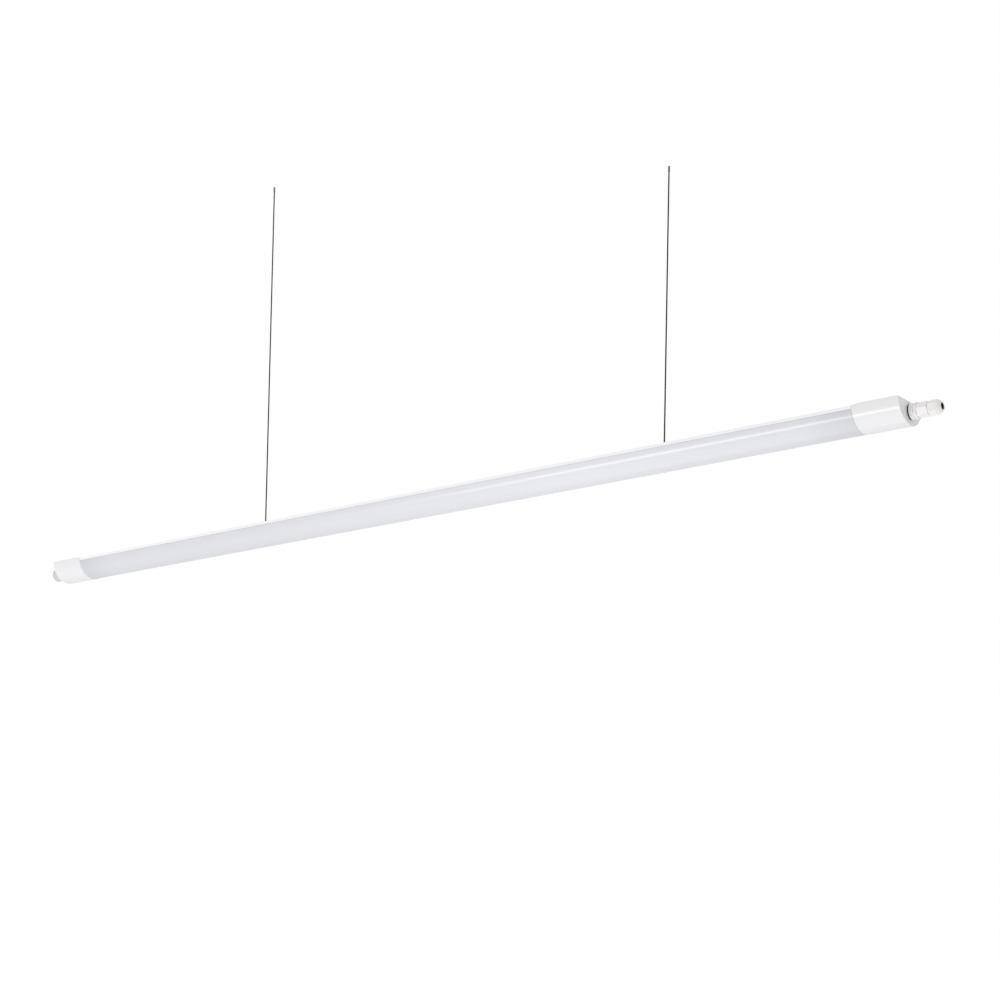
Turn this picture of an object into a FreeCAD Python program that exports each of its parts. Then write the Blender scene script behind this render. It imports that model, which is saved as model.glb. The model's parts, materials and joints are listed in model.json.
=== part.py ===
"""A slim suspended vapor-tight light: an aluminium housing with a T-slot along its back, a half-round
frosted diffuser, a cap at each end, a cable gland in one and a plug in the other, and two steel wires that
hang it from a ceiling.

X runs along the tube, towards the end with the gland, Y across it and Z up. The origin is the middle of the
housing's flat back, which the two hangers carry. All lengths are in millimetres, all angles in degrees.
"""

import FreeCAD, Part
import math
import os
import re

import Sketcher

os.makedirs("parts", exist_ok=True)
document = FreeCAD.newDocument("vapor_tight_light")
sheet = document.addObject("Spreadsheet::Sheet", "Sizes")

SIZES = (
    # The tube: a circle's segment, flat side up
    ("overall_length", 1500, "from one cap's end face to the other's"),
    ("tube_width", 62, "across the flat back"),
    ("tube_depth", 28, "from the back to the lowest point of the diffuser"),
    ("seat_gap", 0.3, "between pieces that move on each other"),
    ("fit_gap", 0.15, "between pieces that fit in each other and stay"),
    ("overrun", 5, "how far a cut runs past what it cuts"),
    # The housing
    ("edge_height", 4, "the white edge band above the diffuser"),
    ("web_thickness", 1.8, "the housing's flat back"),
    ("lip_thickness", 2.2, "the edge outside the diffuser's tongue"),
    ("rib_thickness", 1.2, "the rib inside the diffuser's tongue"),
    ("slot_mouth", 8.4, "the T-slot's opening"),
    ("slot_width", 14, "the T-slot inside"),
    ("slot_lip", 1.6, "thickness of the T-slot's two lips"),
    ("slot_height", 3.2, "the T-slot inside, from its lips to its floor"),
    ("slot_wall", 1.4, "the T-slot's floor and sides"),
    ("leg_spacing", 28.6, "between the two legs that hold the tray"),
    ("leg_thickness", 1.4, "each leg"),
    ("foot_width", 1.6, "how far the foot and the rib stand in from the leg"),
    ("foot_thickness", 0.9, "the foot below the tray and the rib above it"),
    ("housing_tail", 18, "how far the housing reaches into each cap"),
    ("tail_width", 49, "the housing inside the caps"),
    # The diffuser
    ("diffuser_wall", 2, "thickness of the frosted shell"),
    ("tongue_thickness", 1.2, "the edge that snaps behind the housing's lip"),
    # The tray, the boards and the LEDs
    ("tray_level", 17, "from the back down to the tray's upper face"),
    ("tray_thickness", 1, "the reflector sheet"),
    ("tray_setback", 14, "from the cap's end face to the tray's end"),
    ("board_setback", 68, "from the cap's end face to the outer boards' ends"),
    ("board_width", 18, "one LED board"),
    ("board_thickness", 1.2, "one LED board"),
    ("board_gap", 4, "between two boards"),
    ("link_length", 12, "the plug that joins two boards"),
    ("link_width", 6, "the plug that joins two boards"),
    ("link_height", 2.4, "the plug that joins two boards"),
    ("led_length", 3.5, "one LED chip, along the tube"),
    ("led_width", 2.8, "one LED chip, across the tube"),
    ("led_height", 0.7, "one LED chip"),
    # The driver and the wiring
    ("driver_length", 300, "the driver's case"),
    ("driver_width", 22, "the driver's case"),
    ("driver_height", 9.2, "the driver's case"),
    ("driver_lid", 2.4, "height of the driver's lid"),
    ("driver_rim", 0.8, "how far the lid stands in from the case"),
    ("driver_setback", 110, "from the cap's end face to the driver's end"),
    ("lead_radius", 1.1, "an insulated wire inside the light"),
    ("lead_bend", 4, "bend radius of the leads to the boards"),
    ("terminal_length", 18, "a terminal block, along the tube"),
    ("terminal_width", 18, "a terminal block, across the tube"),
    ("terminal_height", 12, "a terminal block"),
    ("terminal_setback", 24, "from the cap's end face to the terminal block"),
    ("terminal_step", 4.5, "height of the lower half of a terminal block"),
    ("terminal_screw_radius", 1.5, "a clamping screw"),
    ("terminal_screw_height", 1, "how far a clamping screw stands out"),
    ("earth_reach", 14, "from the terminal block to the earth screw"),
    ("small_head_radius", 2.4, "the head of a screw in the tray"),
    ("small_head_height", 1.4, "the head of a screw in the tray"),
    ("eyelet_thickness", 0.8, "the eyelet under the earth screw"),
    ("board_screw_side", 6, "from a board's middle line to its screws"),
    ("board_screw_setback", 5, "from a board's end to its screws"),
    # The caps
    ("cap_length", 62, "a cap, along the tube"),
    ("cap_wall", 3, "a cap's round wall"),
    ("cap_end_wall", 3, "a cap's flat end"),
    ("cap_rise", 1.6, "how far a cap stands above the back"),
    ("cap_proud", 0.4, "how far a cap stands outside the diffuser"),
    ("cap_ramp", 10, "the slope from the back up onto the cap"),
    ("cap_lip", 0.5, "how far the slope starts above the back"),
    ("cap_rounding", 1, "the end face's edge"),
    ("spigot_length", 12, "the sleeve that enters the diffuser"),
    ("spigot_root", 10, "the sleeve inside the cap"),
    ("spigot_wall", 1.2, "the sleeve's wall"),
    ("spigot_drop", 8, "from the back down to the sleeve's edges"),
    ("gasket_thickness", 1, "the gasket between a cap and the tube"),
    ("gasket_setback", 0.4, "how far the gasket lies inside the outer faces"),
    ("gasket_width", 1.5, "the gasket's section"),
    ("screw_radius", 1.5, "a cap screw"),
    ("screw_length", 6, "a cap screw, below its head"),
    ("screw_head_radius", 2.75, "a cap screw's head"),
    ("screw_head_height", 1.9, "a cap screw's head"),
    ("screw_socket", 1.25, "radius of the socket in a screw's head"),
    ("screw_socket_depth", 1, "the socket in a screw's head"),
    ("screw_spacing", 24, "between the two screws of a cap"),
    ("screw_setback", 14, "from a cap's mouth to its screws"),
    # The cable gland, measured outwards from the cap's end face
    ("gland_drop", 11.5, "from the back down to the gland's axis"),
    ("thread_radius", 7.6, "the thread in the cap's end"),
    ("thread_length", 8, "the thread inside the cap's end face"),
    ("boss_radius", 11, "the boss behind the cap's end"),
    ("boss_length", 5, "the boss behind the cap's end"),
    ("seal_thickness", 2, "the seal washer"),
    ("seal_radius", 9.6, "the seal washer"),
    ("locknut_thickness", 5.4, "the locknut with its flange"),
    ("locknut_flange", 2.2, "the locknut's own flange"),
    ("locknut_flats", 18.5, "the locknut, across its flats"),
    ("locknut_turn", 12, "how the locknut happens to be turned"),
    ("flange_gap", 0.6, "between the locknut and the flange"),
    ("flange_radius", 10.4, "the gland body's flange"),
    ("flange_thickness", 2.4, "the gland body's flange"),
    ("grip_length", 14, "the gland body's hexagon"),
    ("grip_flats", 16.6, "the gland body and the dome nut, across their flats"),
    ("grip_turn", 58, "how the gland body happens to be turned"),
    ("nut_turn", 40, "how the dome nut happens to be turned"),
    ("collar_radius", 7.1, "the thread that the dome nut runs on"),
    ("collar_length", 8, "the thread that the dome nut runs on"),
    ("finger_length", 3.6, "the slotted fingers in front of that thread"),
    ("finger_radius", 6.5, "outside of the fingers"),
    ("finger_slot", 1, "the slots between the fingers"),
    ("insert_radius", 5.3, "the rubber clamping insert"),
    ("insert_length", 14, "the rubber clamping insert"),
    ("insert_nose", 2.7, "the insert's taper"),
    ("cable_radius", 3.7, "the insert's bore, where the supply cable goes"),
    ("passage_radius", 4.4, "the way through the gland's thread"),
    ("nut_length", 16.6, "the dome nut"),
    ("nut_dome", 6.6, "length of the dome nut's round nose"),
    ("nut_bulge", 0.6, "how far the nose stands outside a straight cone"),
    ("nut_thread", 9, "length of the dome nut's thread"),
    ("nut_seat", 3.2, "thickness of the dome nut at its mouth"),
    ("nut_mouth_radius", 4.3, "the dome nut's mouth"),
    ("nut_nose_radius", 5.6, "the dome nut's flat front"),
    ("thread_gap", 0.1, "running clearance of a thread or a sliding piece"),
    # The blanking plug in the other cap
    ("plug_flange", 6, "the plug's hexagon"),
    ("plug_waist", 1, "the groove between the hexagon and the head"),
    ("plug_waist_depth", 0.8, "the groove between the hexagon and the head"),
    ("plug_head", 17, "length of the plug's round head"),
    ("plug_rounding", 2, "the head's outer edge"),
    ("plug_recess_radius", 5, "the hollow in the plug's thread"),
    ("plug_floor", 4, "thickness of the plug's front"),
    # The hangers and the wires
    ("hanger_left", 307, "from the middle to the left hanger"),
    ("hanger_right", 403, "from the middle to the right hanger"),
    ("slider_length", 26, "the sliding nut, along the tube"),
    ("ball_lift", 3.2, "from the back up to a ball's middle"),
    ("ball_radius", 2.8, "the ball at a wire's foot"),
    ("ball_gap", 0.2, "between a ball and its socket"),
    ("shank_radius", 1.3, "the ball's shank"),
    ("shank_length", 5.5, "from a ball's middle to its shank's end"),
    ("socket_wall", 0.8, "the sliding nut's neck, round the ball"),
    ("socket_radius", 6.4, "outside of a hanger's collar"),
    ("socket_height", 8.7, "from the back up to a collar's top"),
    ("socket_throat", 1.9, "from a ball's middle up to the narrowest place"),
    ("socket_mouth_radius", 3.4, "a collar's mouth"),
    ("wire_radius", 1, "a suspension wire"),
    ("wire_left_length", 542, "the left wire, between its ball and its sleeve"),
    ("wire_right_length", 380, "the right wire, between its ball and its sleeve"),
    ("wire_lean", 1.6, "how far each wire leans outwards"),
    ("sleeve_radius", 1.5, "the crimped sleeve at a wire's top"),
    ("sleeve_length", 8, "the crimped sleeve at a wire's top"),
)
for row, (alias, value, note) in enumerate(SIZES, 1):
    sheet.set(f"A{row}", alias)
    sheet.set(f"B{row}", str(value))
    sheet.set(f"C{row}", note)
    sheet.setAlias(f"B{row}", alias)
document.recompute()
ALIASES = {alias for alias, _, _ in SIZES}
parts = {}

LED_COUNT = 24
BOARDS = ("near", "middle", "far")
POLES = 3
FINGERS = 8
CLOCKWISE = True
X_AXIS = FreeCAD.Vector(1, 0, 0)
Y_AXIS = FreeCAD.Vector(0, 1, 0)
Z_AXIS = FreeCAD.Vector(0, 0, 1)


def sized(words):
    """The expression with each size's name pointed at its cell in the sheet."""
    return re.sub(r"[a-z][a-z_]*", lambda m: f"Sizes.{m[0]}" if m[0] in ALIASES else m[0], str(words))


def number(words):
    """What an expression comes to with the sizes as they are."""
    return float(sheet.evalExpression(sized(words)))


def bind(thing, **expressions):
    for name, words in expressions.items():
        thing.setExpression(name, sized(words))


def put(thing, x=0, y=0, z=0, axis=Z_AXIS, angle=0):
    """Places a thing, turned about an axis through its own origin."""
    thing.Placement = FreeCAD.Placement(FreeCAD.Vector(), FreeCAD.Rotation(axis, angle))
    for name, words in (("x", x), ("y", y), ("z", z)):
        thing.setExpression(f"Placement.Base.{name}", sized(words))
    return thing


def keep(name, thing):
    """Makes a thing one of the light's sub-parts."""
    thing.Label = name
    parts[name] = thing
    return thing


def box(name, x, y, z):
    """A block between two places on each axis."""
    block = document.addObject("Part::Box", name)
    (x0, x1), (y0, y1), (z0, z1) = x, y, z
    bind(block, Length=f"({x1}) - ({x0})", Width=f"({y1}) - ({y0})", Height=f"({z1}) - ({z0})")
    return put(block, x0, y0, z0)


def round_bar(name, radius, start, end, across=0, up=0):
    """A cylinder along X from start to end."""
    bar = document.addObject("Part::Cylinder", name)
    bind(bar, Radius=radius, Height=f"({end}) - ({start})")
    return put(bar, start, across, up, Y_AXIS, 90)


def upright(name, radius, x, y, bottom, top):
    """A cylinder along Z."""
    post = document.addObject("Part::Cylinder", name)
    bind(post, Radius=radius, Height=f"({top}) - ({bottom})")
    return put(post, x, y, bottom)


def joined(kind, name, *things):
    """One boolean of two or more things: Cut, Fuse or Common."""
    first, rest = things[0], things[1:]
    for index, other in enumerate(rest):
        result = document.addObject(f"Part::{kind}", f"{name}_{kind}_{index}")
        result.Base = first
        result.Tool = other
        first = result
    return first


def group(name, things):
    compound = document.addObject("Part::Compound", name)
    compound.Links = things
    return compound


def new_body(name):
    return document.addObject("PartDesign::Body", name)


def plane_of(body, role):
    return next(feature for feature in body.Origin.OriginFeatures if feature.Role == role)


def outline(body, name, role, corners, shift=0):
    """A closed sketch on one of the body's planes, every corner bound to the sizes.

    A corner is its two coordinates and, where an arc leads on to the next corner, the arc's middle and its
    radius. The arc runs anticlockwise, unless CLOCKWISE follows.
    """
    sketch = body.newObject("Sketcher::SketchObject", name)
    sketch.AttachmentSupport = [(plane_of(body, role), "")]
    sketch.MapMode = "FlatFace"
    sketch.setExpression("AttachmentOffset.Base.z", sized(shift))
    places = [FreeCAD.Vector(number(corner[0]), number(corner[1]), 0) for corner in corners]
    ends = []
    for index, corner in enumerate(corners):
        start, end = places[index], places[(index + 1) % len(places)]
        if len(corner) == 2:
            sketch.addGeometry(Part.LineSegment(start, end), False)
            ends.append((1, 2))
            continue
        middle = FreeCAD.Vector(number(corner[2]), number(corner[3]), 0)
        radius = number(corner[4])
        clockwise = CLOCKWISE in corner[5:]
        angles = [math.atan2(place.y - middle.y, place.x - middle.x) for place in (start, end)]
        if clockwise:
            angles.reverse()
        sketch.addGeometry(Part.ArcOfCircle(Part.Circle(middle, Z_AXIS, radius), *angles), False)
        ends.append((2, 1) if clockwise else (1, 2))
        bend = sketch.addConstraint(Sketcher.Constraint("Radius", index, radius))
        sketch.renameConstraint(bend, f"radius_{index}")
        sketch.setExpression(f"Constraints.radius_{index}", sized(corner[4]))
    for index, corner in enumerate(corners):
        following = (index + 1) % len(corners)
        join = Sketcher.Constraint("Coincident", index, ends[index][1], following, ends[following][0])
        sketch.addConstraint(join)
        for kind, words in (("DistanceX", corner[0]), ("DistanceY", corner[1])):
            fixed = Sketcher.Constraint(kind, -1, 1, index, ends[index][0], number(words))
            made = sketch.addConstraint(fixed)
            sketch.renameConstraint(made, f"{kind}_{index}")
            sketch.setExpression(f"Constraints.{kind}_{index}", sized(words))
    return sketch


def pad(body, sketch, length, backwards=False, both_ways=False):
    feature = body.newObject("PartDesign::Pad", f"{sketch.Name}_pad")
    feature.Profile = sketch
    feature.Reversed = backwards
    feature.Midplane = both_ways
    bind(feature, Length=length)
    sketch.Visibility = False
    return feature


def pocket(body, sketch, length, backwards=False, both_ways=False):
    document.recompute()
    before = body.Shape.Volume
    feature = body.newObject("PartDesign::Pocket", f"{sketch.Name}_pocket")
    feature.Profile = sketch
    feature.Reversed = backwards
    feature.Midplane = both_ways
    bind(feature, Length=length)
    document.recompute()
    if not body.Shape.Volume < before:
        raise RuntimeError(f"{feature.Name} cuts nothing")
    return feature


def revolution(body, sketch):
    """The sketch turned once round the body's own X axis."""
    feature = body.newObject("PartDesign::Revolution", f"{sketch.Name}_turned")
    feature.Profile = sketch
    feature.ReferenceAxis = (sketch, ["H_Axis"])
    feature.Angle = 360
    return feature


def mirrored(half, closing=()):
    """A half outline on the right, and the same one back along the left side.

    The closing arc leads from the last corner to the first.
    """
    left = [(f"-({corner[0]})", corner[1]) for corner in half]
    for index, corner in enumerate(half[:-1]):
        left[index + 1] += corner[2:]
    left[0] += closing
    return half + left[::-1]


def segment(radius, centre, level):
    """Half the width of a circle with that middle height, cut at that level."""
    return f"sqrt(({radius}) ^ 2 - (({level}) - ({centre})) ^ 2)"


# The tube's section is one circle: its radius, and its middle, which lies a little above the back
RADIUS = "((tube_width ^ 2 / 4 + tube_depth ^ 2) / (2 * tube_depth))"
CENTRE = f"({RADIUS} - tube_depth)"
TUBE_END = "(overall_length / 2 - cap_length - gasket_thickness)"
LIP_INSIDE = "(tube_width / 2 - lip_thickness)"
TONGUE_OUTSIDE = f"({LIP_INSIDE} - fit_gap)"
TONGUE_INSIDE = f"({TONGUE_OUTSIDE} - tongue_thickness)"
RIB_OUTSIDE = f"({TONGUE_INSIDE} - fit_gap)"
SLOT_FLOOR = "(slot_lip + slot_height + slot_wall)"
TRAY_TOP = "-tray_level"
TRAY_UNDERSIDE = "-(tray_level + tray_thickness)"
BOARD_UNDERSIDE = "-(tray_level + tray_thickness + board_thickness)"
GAPS = f"({len(BOARDS) - 1} * board_gap)"
BOARD_LENGTH = f"((overall_length - 2 * board_setback - {GAPS}) / {len(BOARDS)})"


def housing():
    """One extrusion: back, edge lips with a snap groove, T-slot on top and two legs with grooves below."""
    body = new_body("housing_body")
    leg_inside = "(leg_spacing / 2)"
    foot_inside = "(leg_spacing / 2 - foot_width)"
    rib_level = "-(tray_level - fit_gap)"
    foot_level = "-(tray_level + tray_thickness + fit_gap)"
    half = [
        ("slot_width / 2", "-(slot_lip + slot_height)"),
        ("slot_width / 2", "-slot_lip"),
        ("slot_mouth / 2", "-slot_lip"),
        ("slot_mouth / 2", 0),
        ("tube_width / 2", 0, 0, CENTRE, RADIUS, CLOCKWISE),
        (segment(RADIUS, CENTRE, "-edge_height"), "-edge_height"),
        (LIP_INSIDE, "-edge_height"),
        (LIP_INSIDE, "-web_thickness"),
        (RIB_OUTSIDE, "-web_thickness"),
        (RIB_OUTSIDE, "-edge_height"),
        (f"{RIB_OUTSIDE} - rib_thickness", "-edge_height"),
        (f"{RIB_OUTSIDE} - rib_thickness", "-web_thickness"),
        ("leg_spacing / 2 + leg_thickness", "-web_thickness"),
        ("leg_spacing / 2 + leg_thickness", f"{foot_level} - foot_thickness"),
        (foot_inside, f"{foot_level} - foot_thickness"),
        (foot_inside, foot_level),
        (leg_inside, foot_level),
        (leg_inside, rib_level),
        (foot_inside, rib_level),
        (foot_inside, f"{rib_level} + foot_thickness"),
        (leg_inside, f"{rib_level} + foot_thickness"),
        (leg_inside, "-web_thickness"),
        ("slot_width / 2 + slot_wall", "-web_thickness"),
        ("slot_width / 2 + slot_wall", f"-{SLOT_FLOOR}"),
    ]
    section = outline(body, "housing_section", "YZ_Plane", mirrored(half))
    pad(body, section, f"2 * {TUBE_END} + 2 * housing_tail", both_ways=True)
    for side in (1, -1):
        # The edges end at the gasket; only the middle reaches into the cap
        for across in (1, -1):
            corners = [
                (f"{side} * {TUBE_END}", f"{across} * tail_width / 2"),
                (f"{side} * ({TUBE_END} + housing_tail + overrun)", f"{across} * tail_width / 2"),
                (f"{side} * ({TUBE_END} + housing_tail + overrun)", f"{across} * tube_width"),
                (f"{side} * {TUBE_END}", f"{across} * tube_width"),
            ]
            trim = outline(body, f"housing_trim_{side + 1}_{across + 1}", "XY_Plane", corners)
            pocket(body, trim, "2 * tube_depth", both_ways=True)
        for across in (1, -1):
            screw_x = f"{side} * (overall_length / 2 - cap_length + screw_setback)"
            hole = round_hole(body, f"housing_hole_{side + 1}_{across + 1}", "XY_Plane", screw_x,
                              f"{across} * screw_spacing / 2", "screw_radius + fit_gap")
            pocket(body, hole, "2 * web_thickness + 2 * fit_gap", both_ways=True)
    return keep("housing", put(body))


def round_hole(body, name, role, x, y, radius, shift=0):
    """A sketch of one circle."""
    sketch = body.newObject("Sketcher::SketchObject", name)
    sketch.AttachmentSupport = [(plane_of(body, role), "")]
    sketch.MapMode = "FlatFace"
    sketch.setExpression("AttachmentOffset.Base.z", sized(shift))
    middle = FreeCAD.Vector(number(x), number(y), 0)
    sketch.addGeometry(Part.Circle(middle, Z_AXIS, number(radius)), False)
    for kind, words in (("DistanceX", x), ("DistanceY", y)):
        made = sketch.addConstraint(Sketcher.Constraint(kind, -1, 1, 0, 3, number(words)))
        sketch.renameConstraint(made, kind)
        sketch.setExpression(f"Constraints.{kind}", sized(words))
    made = sketch.addConstraint(Sketcher.Constraint("Radius", 0, number(radius)))
    sketch.renameConstraint(made, "radius")
    sketch.setExpression("Constraints.radius", sized(radius))
    return sketch


def diffuser():
    """The frosted shell: an even wall on the tube's circle, with a tongue along each edge."""
    body = new_body("diffuser_body")
    inner = f"({RADIUS} - diffuser_wall)"
    edge = "-(edge_height + fit_gap)"
    tongue_top = "-(web_thickness + fit_gap)"
    turn_in = f"{CENTRE} - sqrt({inner} ^ 2 - {TONGUE_INSIDE} ^ 2)"
    half = [
        (TONGUE_INSIDE, turn_in),
        (TONGUE_INSIDE, tongue_top),
        (TONGUE_OUTSIDE, tongue_top),
        (TONGUE_OUTSIDE, edge),
        (segment(RADIUS, CENTRE, edge), edge, 0, CENTRE, RADIUS, CLOCKWISE),
    ]
    # The outer arc leads from the right edge to the left one, and the inner arc leads back
    section = outline(body, "diffuser_section", "YZ_Plane", mirrored(half, (0, CENTRE, inner)))
    pad(body, section, f"2 * {TUBE_END}", both_ways=True)
    return keep("diffuser", put(body))


DRIVER_NEAR = "(overall_length / 2 - driver_setback)"
DRIVER_FAR = f"({DRIVER_NEAR} - driver_length)"
LEAD_DROP = f"({DRIVER_FAR} - 2 * lead_bend)"
TERMINAL_FACE = "(overall_length / 2 - terminal_setback - terminal_length)"
LEAD_LEVEL = f"({TRAY_TOP} + lead_radius)"
POLE = f"(terminal_width / {POLES})"


def gear_tray():
    """The reflector sheet in the legs' grooves, with a slot where the leads go down to the boards."""
    reach = "(overall_length / 2 - tray_setback)"
    half_width = "(leg_spacing / 2 - fit_gap)"
    plate = box("tray_plate", (f"-{reach}", reach), (f"-{half_width}", half_width),
                (TRAY_UNDERSIDE, TRAY_TOP))
    slot = box("tray_slot", (f"{LEAD_DROP} - 2 * lead_radius", f"{LEAD_DROP} + 2 * lead_radius"),
               (f"-{POLE} / 2 - 2 * lead_radius", f"{POLE} / 2 + 2 * lead_radius"),
               (f"{TRAY_UNDERSIDE} - overrun", f"{TRAY_TOP} + overrun"))
    keep("gear_tray", joined("Cut", "tray", plate, slot))


def driver():
    """The slim driver on the tray: a case and, a little smaller, its lid."""
    lid_level = f"{TRAY_TOP} + driver_height - driver_lid"
    inset = "driver_width / 2 - driver_rim"
    keep("driver_case", box("driver_case_box", (DRIVER_FAR, DRIVER_NEAR),
                            ("-driver_width / 2", "driver_width / 2"), (TRAY_TOP, lid_level)))
    keep("driver_lid", box("driver_lid_box", (f"{DRIVER_FAR} + driver_rim", f"{DRIVER_NEAR} - driver_rim"),
                           (f"-({inset})", inset), (lid_level, f"{TRAY_TOP} + driver_height")))


def boards():
    """Three LED boards under the tray, each with its row of chips, and a plug across each joint."""
    pitch = f"({BOARD_LENGTH} + board_gap)"
    screws = []
    for index, place in enumerate(BOARDS):
        middle = f"({pitch} * {1 - index})"
        board = box(f"board_{place}", (f"{middle} - {BOARD_LENGTH} / 2", f"{middle} + {BOARD_LENGTH} / 2"),
                    ("-board_width / 2", "board_width / 2"), (BOARD_UNDERSIDE, TRAY_UNDERSIDE))
        keep(f"led_board_{place}", board)
        chips = []
        for chip in range(LED_COUNT):
            share = (chip + 0.5) / LED_COUNT - 0.5
            x = f"({middle} + {BOARD_LENGTH} * {share})"
            chips.append(box(f"chip_{place}_{chip}", (f"{x} - led_length / 2", f"{x} + led_length / 2"),
                             ("-led_width / 2", "led_width / 2"),
                             (f"{BOARD_UNDERSIDE} - led_height", BOARD_UNDERSIDE)))
        keep(f"led_chips_{place}", group(f"chips_{place}", chips))
        for end in (1, -1):
            x = f"{middle} + {end} * ({BOARD_LENGTH} / 2 - board_screw_setback)"
            screws.append(upright(f"board_screw_{place}_{end + 1}", "small_head_radius", x,
                                  f"{end} * board_screw_side", f"{BOARD_UNDERSIDE} - small_head_height",
                                  BOARD_UNDERSIDE))
    keep("board_screws", group("board_screw_group", screws))
    links = []
    for side in (1, -1):
        x = f"({pitch} * {side} / 2)"
        links.append(box(f"link_{side + 1}", (f"{x} - link_length / 2", f"{x} + link_length / 2"),
                         ("-link_width / 2", "link_width / 2"),
                         (f"{BOARD_UNDERSIDE} - link_height", BOARD_UNDERSIDE)))
    keep("board_links", group("link_group", links))


def terminals():
    """A stepped terminal block on the tray behind the gland, with a clamping screw for each pole."""
    near = "overall_length / 2 - terminal_setback"
    width = ("-terminal_width / 2", "terminal_width / 2")
    base = box("terminal_base", (TERMINAL_FACE, near), width, (TRAY_TOP, f"{TRAY_TOP} + terminal_step"))
    tower = box("terminal_tower", (f"{TERMINAL_FACE} + terminal_length / 4", f"{near} - terminal_length / 4"),
                width, (TRAY_TOP, f"{TRAY_TOP} + terminal_height"))
    keep("terminal_block", joined("Fuse", "terminal", base, tower))
    screws = []
    for pole in range(POLES):
        screws.append(upright(f"terminal_screw_{pole}", "terminal_screw_radius",
                              f"{TERMINAL_FACE} + terminal_length / 2", f"{POLE} * {pole - (POLES - 1) / 2}",
                              f"{TRAY_TOP} + terminal_height",
                              f"{TRAY_TOP} + terminal_height + terminal_screw_height"))
    keep("terminal_screws", group("terminal_screw_group", screws))


def wiring():
    """Supply leads along the tray, an earth lead to the tray, and leads that bend down to the boards."""
    supply = [round_bar(f"supply_lead_{pole}", "lead_radius", DRIVER_NEAR, TERMINAL_FACE,
                        f"-{POLE} * {pole}", LEAD_LEVEL) for pole in (0, 1)]
    keep("supply_leads", group("supply_lead_group", supply))

    eyelet = f"({TERMINAL_FACE} - earth_reach)"
    ring = upright("earth_eyelet", "small_head_radius", eyelet, POLE, TRAY_TOP,
                   f"{TRAY_TOP} + eyelet_thickness")
    tongue = box("earth_tongue", (eyelet, f"{eyelet} + small_head_radius + 2 * lead_radius"),
                 (f"{POLE} - lead_radius / 2", f"{POLE} + lead_radius / 2"),
                 (f"{TRAY_TOP} + eyelet_thickness / 2", f"{TRAY_TOP} + eyelet_thickness"))
    lead = round_bar("earth_run", "lead_radius", f"{eyelet} + small_head_radius + lead_radius", TERMINAL_FACE,
                     POLE, LEAD_LEVEL)
    keep("earth_lead", joined("Fuse", "earth", ring, tongue, lead))
    keep("earth_screw", upright("earth_screw_head", "small_head_radius", eyelet, POLE,
                                f"{TRAY_TOP} + eyelet_thickness",
                                f"{TRAY_TOP} + eyelet_thickness + small_head_height"))

    feeds = []
    height = f"({TRAY_TOP} + (driver_height - driver_lid) / 2)"
    for side in (1, -1):
        y = f"{side} * {POLE} / 2"
        run = round_bar(f"feed_run_{side + 1}", "lead_radius", f"{DRIVER_FAR} - lead_bend", DRIVER_FAR, y,
                        height)
        bend = document.addObject("Part::Torus", f"feed_bend_{side + 1}")
        bend.Angle3 = 90
        bind(bend, Radius1="lead_bend", Radius2="lead_radius")
        put(bend, f"{DRIVER_FAR} - lead_bend", y, f"{height} - lead_bend", Y_AXIS + Z_AXIS, 180)
        drop = upright(f"feed_drop_{side + 1}", "lead_radius", LEAD_DROP, y, TRAY_UNDERSIDE,
                       f"{height} - lead_bend")
        feeds.append(joined("Fuse", f"feed_{side + 1}", run, bend, drop))
    keep("board_leads", group("board_lead_group", feeds))


def at_end(thing, side, drop=0):
    """Moves a thing that is drawn round a cap's end face to the near end (1) or the far end (-1)."""
    return put(thing, f"{side} * overall_length / 2", 0, drop, Z_AXIS, 0 if side == 1 else 180)


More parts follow.
